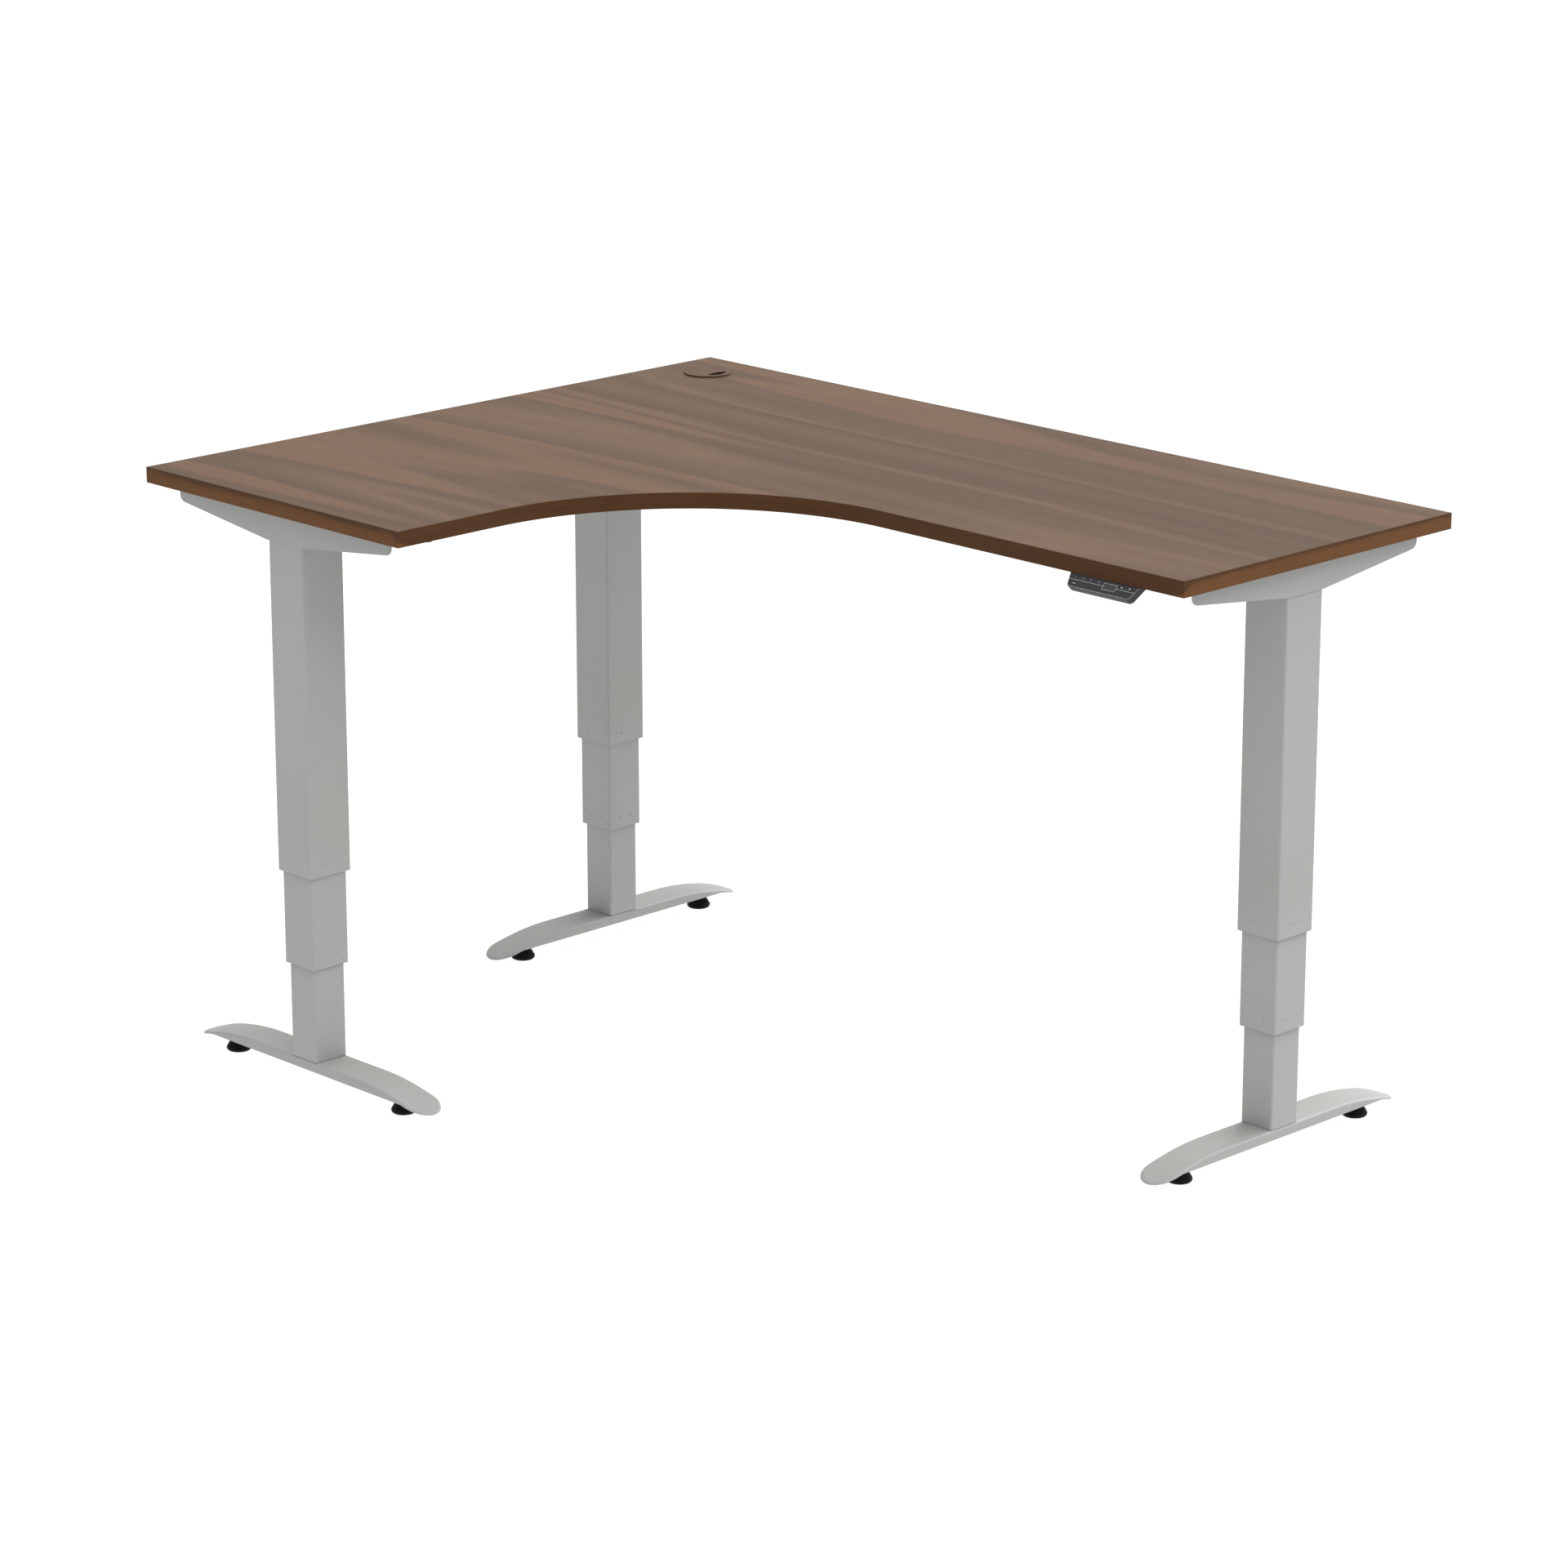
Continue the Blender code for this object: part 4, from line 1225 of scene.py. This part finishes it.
def build_case(low, high):
    """The control box's case and lid, cut for its sockets, its inlet and its vents."""
    size, centre = high - low, (high + low) / 2
    half, level = size.x / 2, centre.z - PORT_DROP
    place = moved(centre.x, centre.y)
    outline = rectangle(size.x, size.y, BOX_CORNER)
    split = low.z + size.z * BOX_SPLIT
    ports = [bar("port", (half - PORT_DEPTH, size.x), (y, level), section) for y, section in PORTS]
    inlet = bar("inlet", (-size.x, INLET_DEPTH - half), (0.0, centre.z), INLET)
    vents = []
    for step in range(VENTS):
        slot = shifted(rectangle(*VENT_SIZE, 4), VENT_PITCH * (step - (VENTS - 1) / 2), 0.0)
        vents.append(prism("vent", slot, low.z - 0.001, low.z + VENT_DEPTH))
    case = carved(prism("case", outline, low.z, split - BOX_SEAM, CASE_EDGE), *ports, inlet, *vents)
    add_piece("control_box_case", case, "case_plastic", "top", ("control_box",), place)
    lid = carved(prism("lid", outline, split + BOX_SEAM, high.z, LID_EDGE), inlet)
    add_piece("control_box_lid", lid, "case_plastic", "top", (), place)


def build_control_box():
    low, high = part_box("control_box")
    build_case(low, high)
    centre, half = (high + low) / 2, (high - low).x / 2
    place = moved(centre.x, centre.y)
    level = high.z - EAR_THICKNESS
    screw = washer_screw(*BOX_SCREW)
    ears, screws = [], []
    for end in (-1, 1):
        for y in (-EAR_SPREAD, EAR_SPREAD):
            x = end * (half + EAR_REACH)
            ears.append((prism("ear", shifted(rectangle(*EAR_SIZE), x, y), level, high.z, EAR_EDGE), STILL))
            screws.append((screw, moved(x + end * 0.001, y, level) @ DOWNWARD))
    add_piece("control_box_ears", merged("ears", ears), "case_plastic", "top", (), place)
    add_piece("control_box_screws", merged("ear_screws", screws), "bright_steel", "top", (), place)

    blocks = []
    for y, section in PORTS:
        block = socket_block("motor_port", section, PORT_DEPTH, PORT_PINS, PORT_PIN)
        blocks.append((block, moved(half, y, centre.z - PORT_DROP)))
    block = socket_block("mains_port", INLET, INLET_DEPTH, INLET_PINS, INLET_PIN)
    blocks.append((block, moved(-half, 0.0, centre.z) @ spun(HALF_TURN, "Z")))
    add_piece("control_box_ports", merged("ports", blocks), None, "top", (), place, DARK_PLASTIC_AND_SHADE)


# The handset

def handset_outline(distance):
    """The face's outline, wider towards the board, moved inwards by distance."""
    top_half = HANDSET_HALF_TOP + HANDSET_SIDE_SLOPE * HANDSET_BACK
    low_half = HANDSET_HALF_TOP - HANDSET_SIDE_SLOPE * HANDSET_REACH
    outline = rounded((
        (top_half, HANDSET_BACK, 0.0),
        (-top_half, HANDSET_BACK, 0.0),
        (-low_half, -HANDSET_REACH, HANDSET_CORNER),
        (low_half, -HANDSET_REACH, HANDSET_CORNER),
    ), HANDSET_STEPS)
    return inset(outline, distance) if distance else outline


def pocket(x, y, size, clearance):
    outline = rectangle(size[0] + 2 * clearance, size[1] + 2 * clearance, KEY_CORNER, 5)
    return prism("pocket", shifted(outline, x, y), -KEY_POCKET, FACE_THICKNESS)


def board_cutter():
    """Everything above the board's underside, in the handset's frame."""
    mesh = box("board", (0.0, -FAR, UNDERSIDE - GAP), (FAR, FAR, FAR))
    mesh.transform(HANDSET_FRAME.inverted())
    return mesh


def label(text, height):
    """A raised figure, centred on the origin."""
    curve = bpy.data.curves.new("label", "FONT")
    curve.body = text
    curve.size = height
    curve.extrude = PRINT_THICKNESS / 2
    curve.resolution_u = 6
    mesh = evaluated(linked("label", curve))
    xs = [vertex.co.x for vertex in mesh.vertices]
    ys = [vertex.co.y for vertex in mesh.vertices]
    scale = height / (max(ys) - min(ys))
    centre = moved(-(max(xs) + min(xs)) / 2, -(max(ys) + min(ys)) / 2)
    mesh.transform(Matrix.Diagonal((scale, scale, 1.0, 1.0)) @ centre)
    return mesh


def printed(name, outline):
    """A thin print, half above and half below Z = 0."""
    return prism(name, outline, -PRINT_THICKNESS / 2, PRINT_THICKNESS / 2)


def arrow(turn):
    """A solid triangle that points along +Y, turned by turn."""
    width, height, corner = ARROW_SIZE
    half = width / 2
    corners = ((half, -height / 2, corner), (0.0, height / 2, corner), (-half, -height / 2, corner))
    mesh = printed("arrow", rounded(corners, 3))
    mesh.transform(spun(turn, "Z"))
    return mesh


def memory_mark():
    """Three small squares in a row."""
    square = printed("square", rectangle(*SQUARE_SIZE, 3))
    return merged("memory_mark", [(square, moved(SQUARE_PITCH * place)) for place in (-1, 0, 1)])


def face_print(board):
    """The light lines on the face: its outline, the divider and the display's frame."""
    start = FACE_MARGIN + PRINT_MARGIN
    outer, inner = handset_outline(start), handset_outline(start + PRINT_LINE)
    outline = carved(ring_prism("outline", outer, inner, 0.0, PRINT_THICKNESS), board)
    width, height = (side + 2 * DISPLAY_MARGIN for side in DISPLAY_SIZE)
    frame_outer = rectangle(width + 2 * PRINT_LINE, height + 2 * PRINT_LINE, KEY_CORNER, 4)
    frame_inner = rectangle(width, height, KEY_CORNER, 4)
    window = ring_prism("window", frame_outer, frame_inner, 0.0, PRINT_THICKNESS)
    x, y = DISPLAY
    reach = HANDSET_HALF_TOP + HANDSET_SIDE_SLOPE * y - start - PRINT_LINE
    edge = width / 2 + PRINT_LINE
    low, high = y - PRINT_LINE / 2, y + PRINT_LINE / 2
    left = box("line", (-reach, low, 0.0), (x - edge, high, PRINT_THICKNESS))
    right = box("line", (x + edge, low, 0.0), (reach - LINE_SETBACK, high, PRINT_THICKNESS))
    return merged("face_print", ((outline, STILL), (window, moved(x, y)), (left, STILL), (right, STILL)))


def build_handset():
    middle, top = HANDSET_ORIGIN.x, UNDERSIDE - GAP
    width, depth, drop = HANDSET_ROOT
    root_low = (middle - width / 2, HANDSET_BACK, top - drop)
    root_high = (middle + width / 2, HANDSET_BACK + depth, UNDERSIDE + drop)
    root = box("root", root_low, root_high, ROOT_EDGE)
    root.transform(HANDSET_FRAME.inverted())
    board = board_cutter()
    pockets = [pocket(x, y, size, KEY_GAP) for x, y, size in KEYS.values()]
    slab = prism("slab", handset_outline(0.0), -HANDSET_THICKNESS, -FACE_BED, HANDSET_EDGE)
    body = carved(slab, board, *pockets, joined=(root,))
    add_piece("handset_body", body, "case_plastic", "top", ("handset_housing",), HANDSET_FRAME)

    film = prism("film", handset_outline(FACE_MARGIN), -FACE_THICKNESS, 0.0, FACE_EDGE)
    film = carved(film, board, pocket(*DISPLAY, DISPLAY_SIZE, GAP), *pockets)
    add_piece("handset_film", film, "overlay_plastic", "top", ("handset_face",), HANDSET_FRAME)
    add_piece("handset_lines", face_print(board), None, "top", (), HANDSET_FRAME, PRINT)

    screen = prism("screen", rectangle(*DISPLAY_SIZE, KEY_CORNER), -FACE_THICKNESS, -DISPLAY_DROP, KEY_EDGE)
    window = HANDSET_FRAME @ moved(*DISPLAY)
    add_piece("handset_screen", screen, "display_glass", "top", ("handset_display",), window)

    marks = {f"key_{figure}": label(str(figure), FIGURE_HEIGHT) for figure in range(1, 5)}
    marks.update(key_up=arrow(0.0), key_down=arrow(HALF_TURN), key_memory=memory_mark())
    for name, (x, y, size) in KEYS.items():
        place = HANDSET_FRAME @ moved(x, y)
        cap = prism(name, rectangle(*size, KEY_CORNER), KEY_BOTTOM, KEY_TOP, KEY_EDGE)
        add_piece(f"{name}_button", cap, "overlay_plastic", f"{name}_cap", (name,), place)
        mark = place @ moved(z=KEY_TOP + PRINT_THICKNESS / 2)
        add_piece(f"{name}_mark", marks[name], None, f"{name}_cap", (), mark, PRINT)

    screw = socket_screw(*HANDSET_SCREW)
    screws = merged("handset_screws", [(screw, moved(x) @ DOWNWARD) for x in HANDSET_SCREWS])
    level = moved(middle, HANDSET_BACK + depth * ROOT_SCREW_SHARE, top - drop)
    add_piece("handset_screws", screws, "bright_steel", "top", (), level)


# Carried-over nodes, floor, light and camera

def finish_kept_nodes():
    """Gives the glides and nuts, whose CAD shapes are kept, their materials."""
    glides, nuts = ("outer_glide", "middle_glide"), ("upper_nut", "lower_nut")
    slots = dict.fromkeys(glides, "grey_polymer") | dict.fromkeys(nuts, "nut_polymer")
    for prefix, slot in slots.items():
        for column in TURNS:
            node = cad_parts[f"{prefix}_{column}"]
            node.data.materials.clear()
            node.data.materials.append(LOOKS[slot])


def build_floor():
    glow = {"Emission_Color": grey(1.0), "Emission_Strength": FLOOR_GLOW}
    look = Look("studio_floor", grey(FLOOR_SHADE), 0.9, **glow)
    mesh = prism("studio_floor", rectangle(2 * FLOOR_REACH, 2 * FLOOR_REACH), -0.01, 0.0)
    mesh.materials.append(look.material)
    floor = linked("studio_floor", mesh)


def add_sun(name, direction, strength, spread):
    """A soft light that shines from the given direction."""
    lamp = bpy.data.lights.new(name, "SUN")
    lamp.energy = strength
    lamp.angle = spread
    holder = linked(name, lamp)
    holder.rotation_mode = "QUATERNION"
    holder.rotation_quaternion = Vector(direction).to_track_quat("Z", "Y")


def build_light():
    world = bpy.data.worlds.new("studio")
    world.use_nodes = True
    tree = world.node_tree
    room = tree.nodes["Background"]
    direction = tree.nodes.new("ShaderNodeTexCoord")
    axes = tree.nodes.new("ShaderNodeSeparateXYZ")
    shades = tree.nodes.new("ShaderNodeValToRGB")
    fill_ramp(shades, [(height, grey(level)) for height, level in ROOM_LIGHT])
    room.inputs["Strength"].default_value = ROOM_STRENGTH
    tree.links.new(direction.outputs["Generated"], axes.inputs["Vector"])
    tree.links.new(axes.outputs["Z"], shades.inputs["Fac"])
    tree.links.new(shades.outputs["Color"], room.inputs["Color"])
    bpy.context.scene.world = world
    for name, direction, strength, spread in SUNS:
        add_sun(name, direction, strength, spread)


def build_camera():
    data = bpy.data.cameras.new("camera")
    data.lens = CAMERA_LENS
    camera = linked("camera", data)
    camera.location = CAMERA_PLACE
    camera.rotation_euler = (QUARTER + CAMERA_PITCH, 0.0, -CAMERA_YAW)
    bpy.context.scene.camera = camera
    bpy.context.scene.view_settings.view_transform = "Standard"


build_camera()
build_light()
build_floor()
build_board()
build_band()
build_grommet()
build_columns()
build_rails()
build_control_box()
build_handset()
finish_kept_nodes()
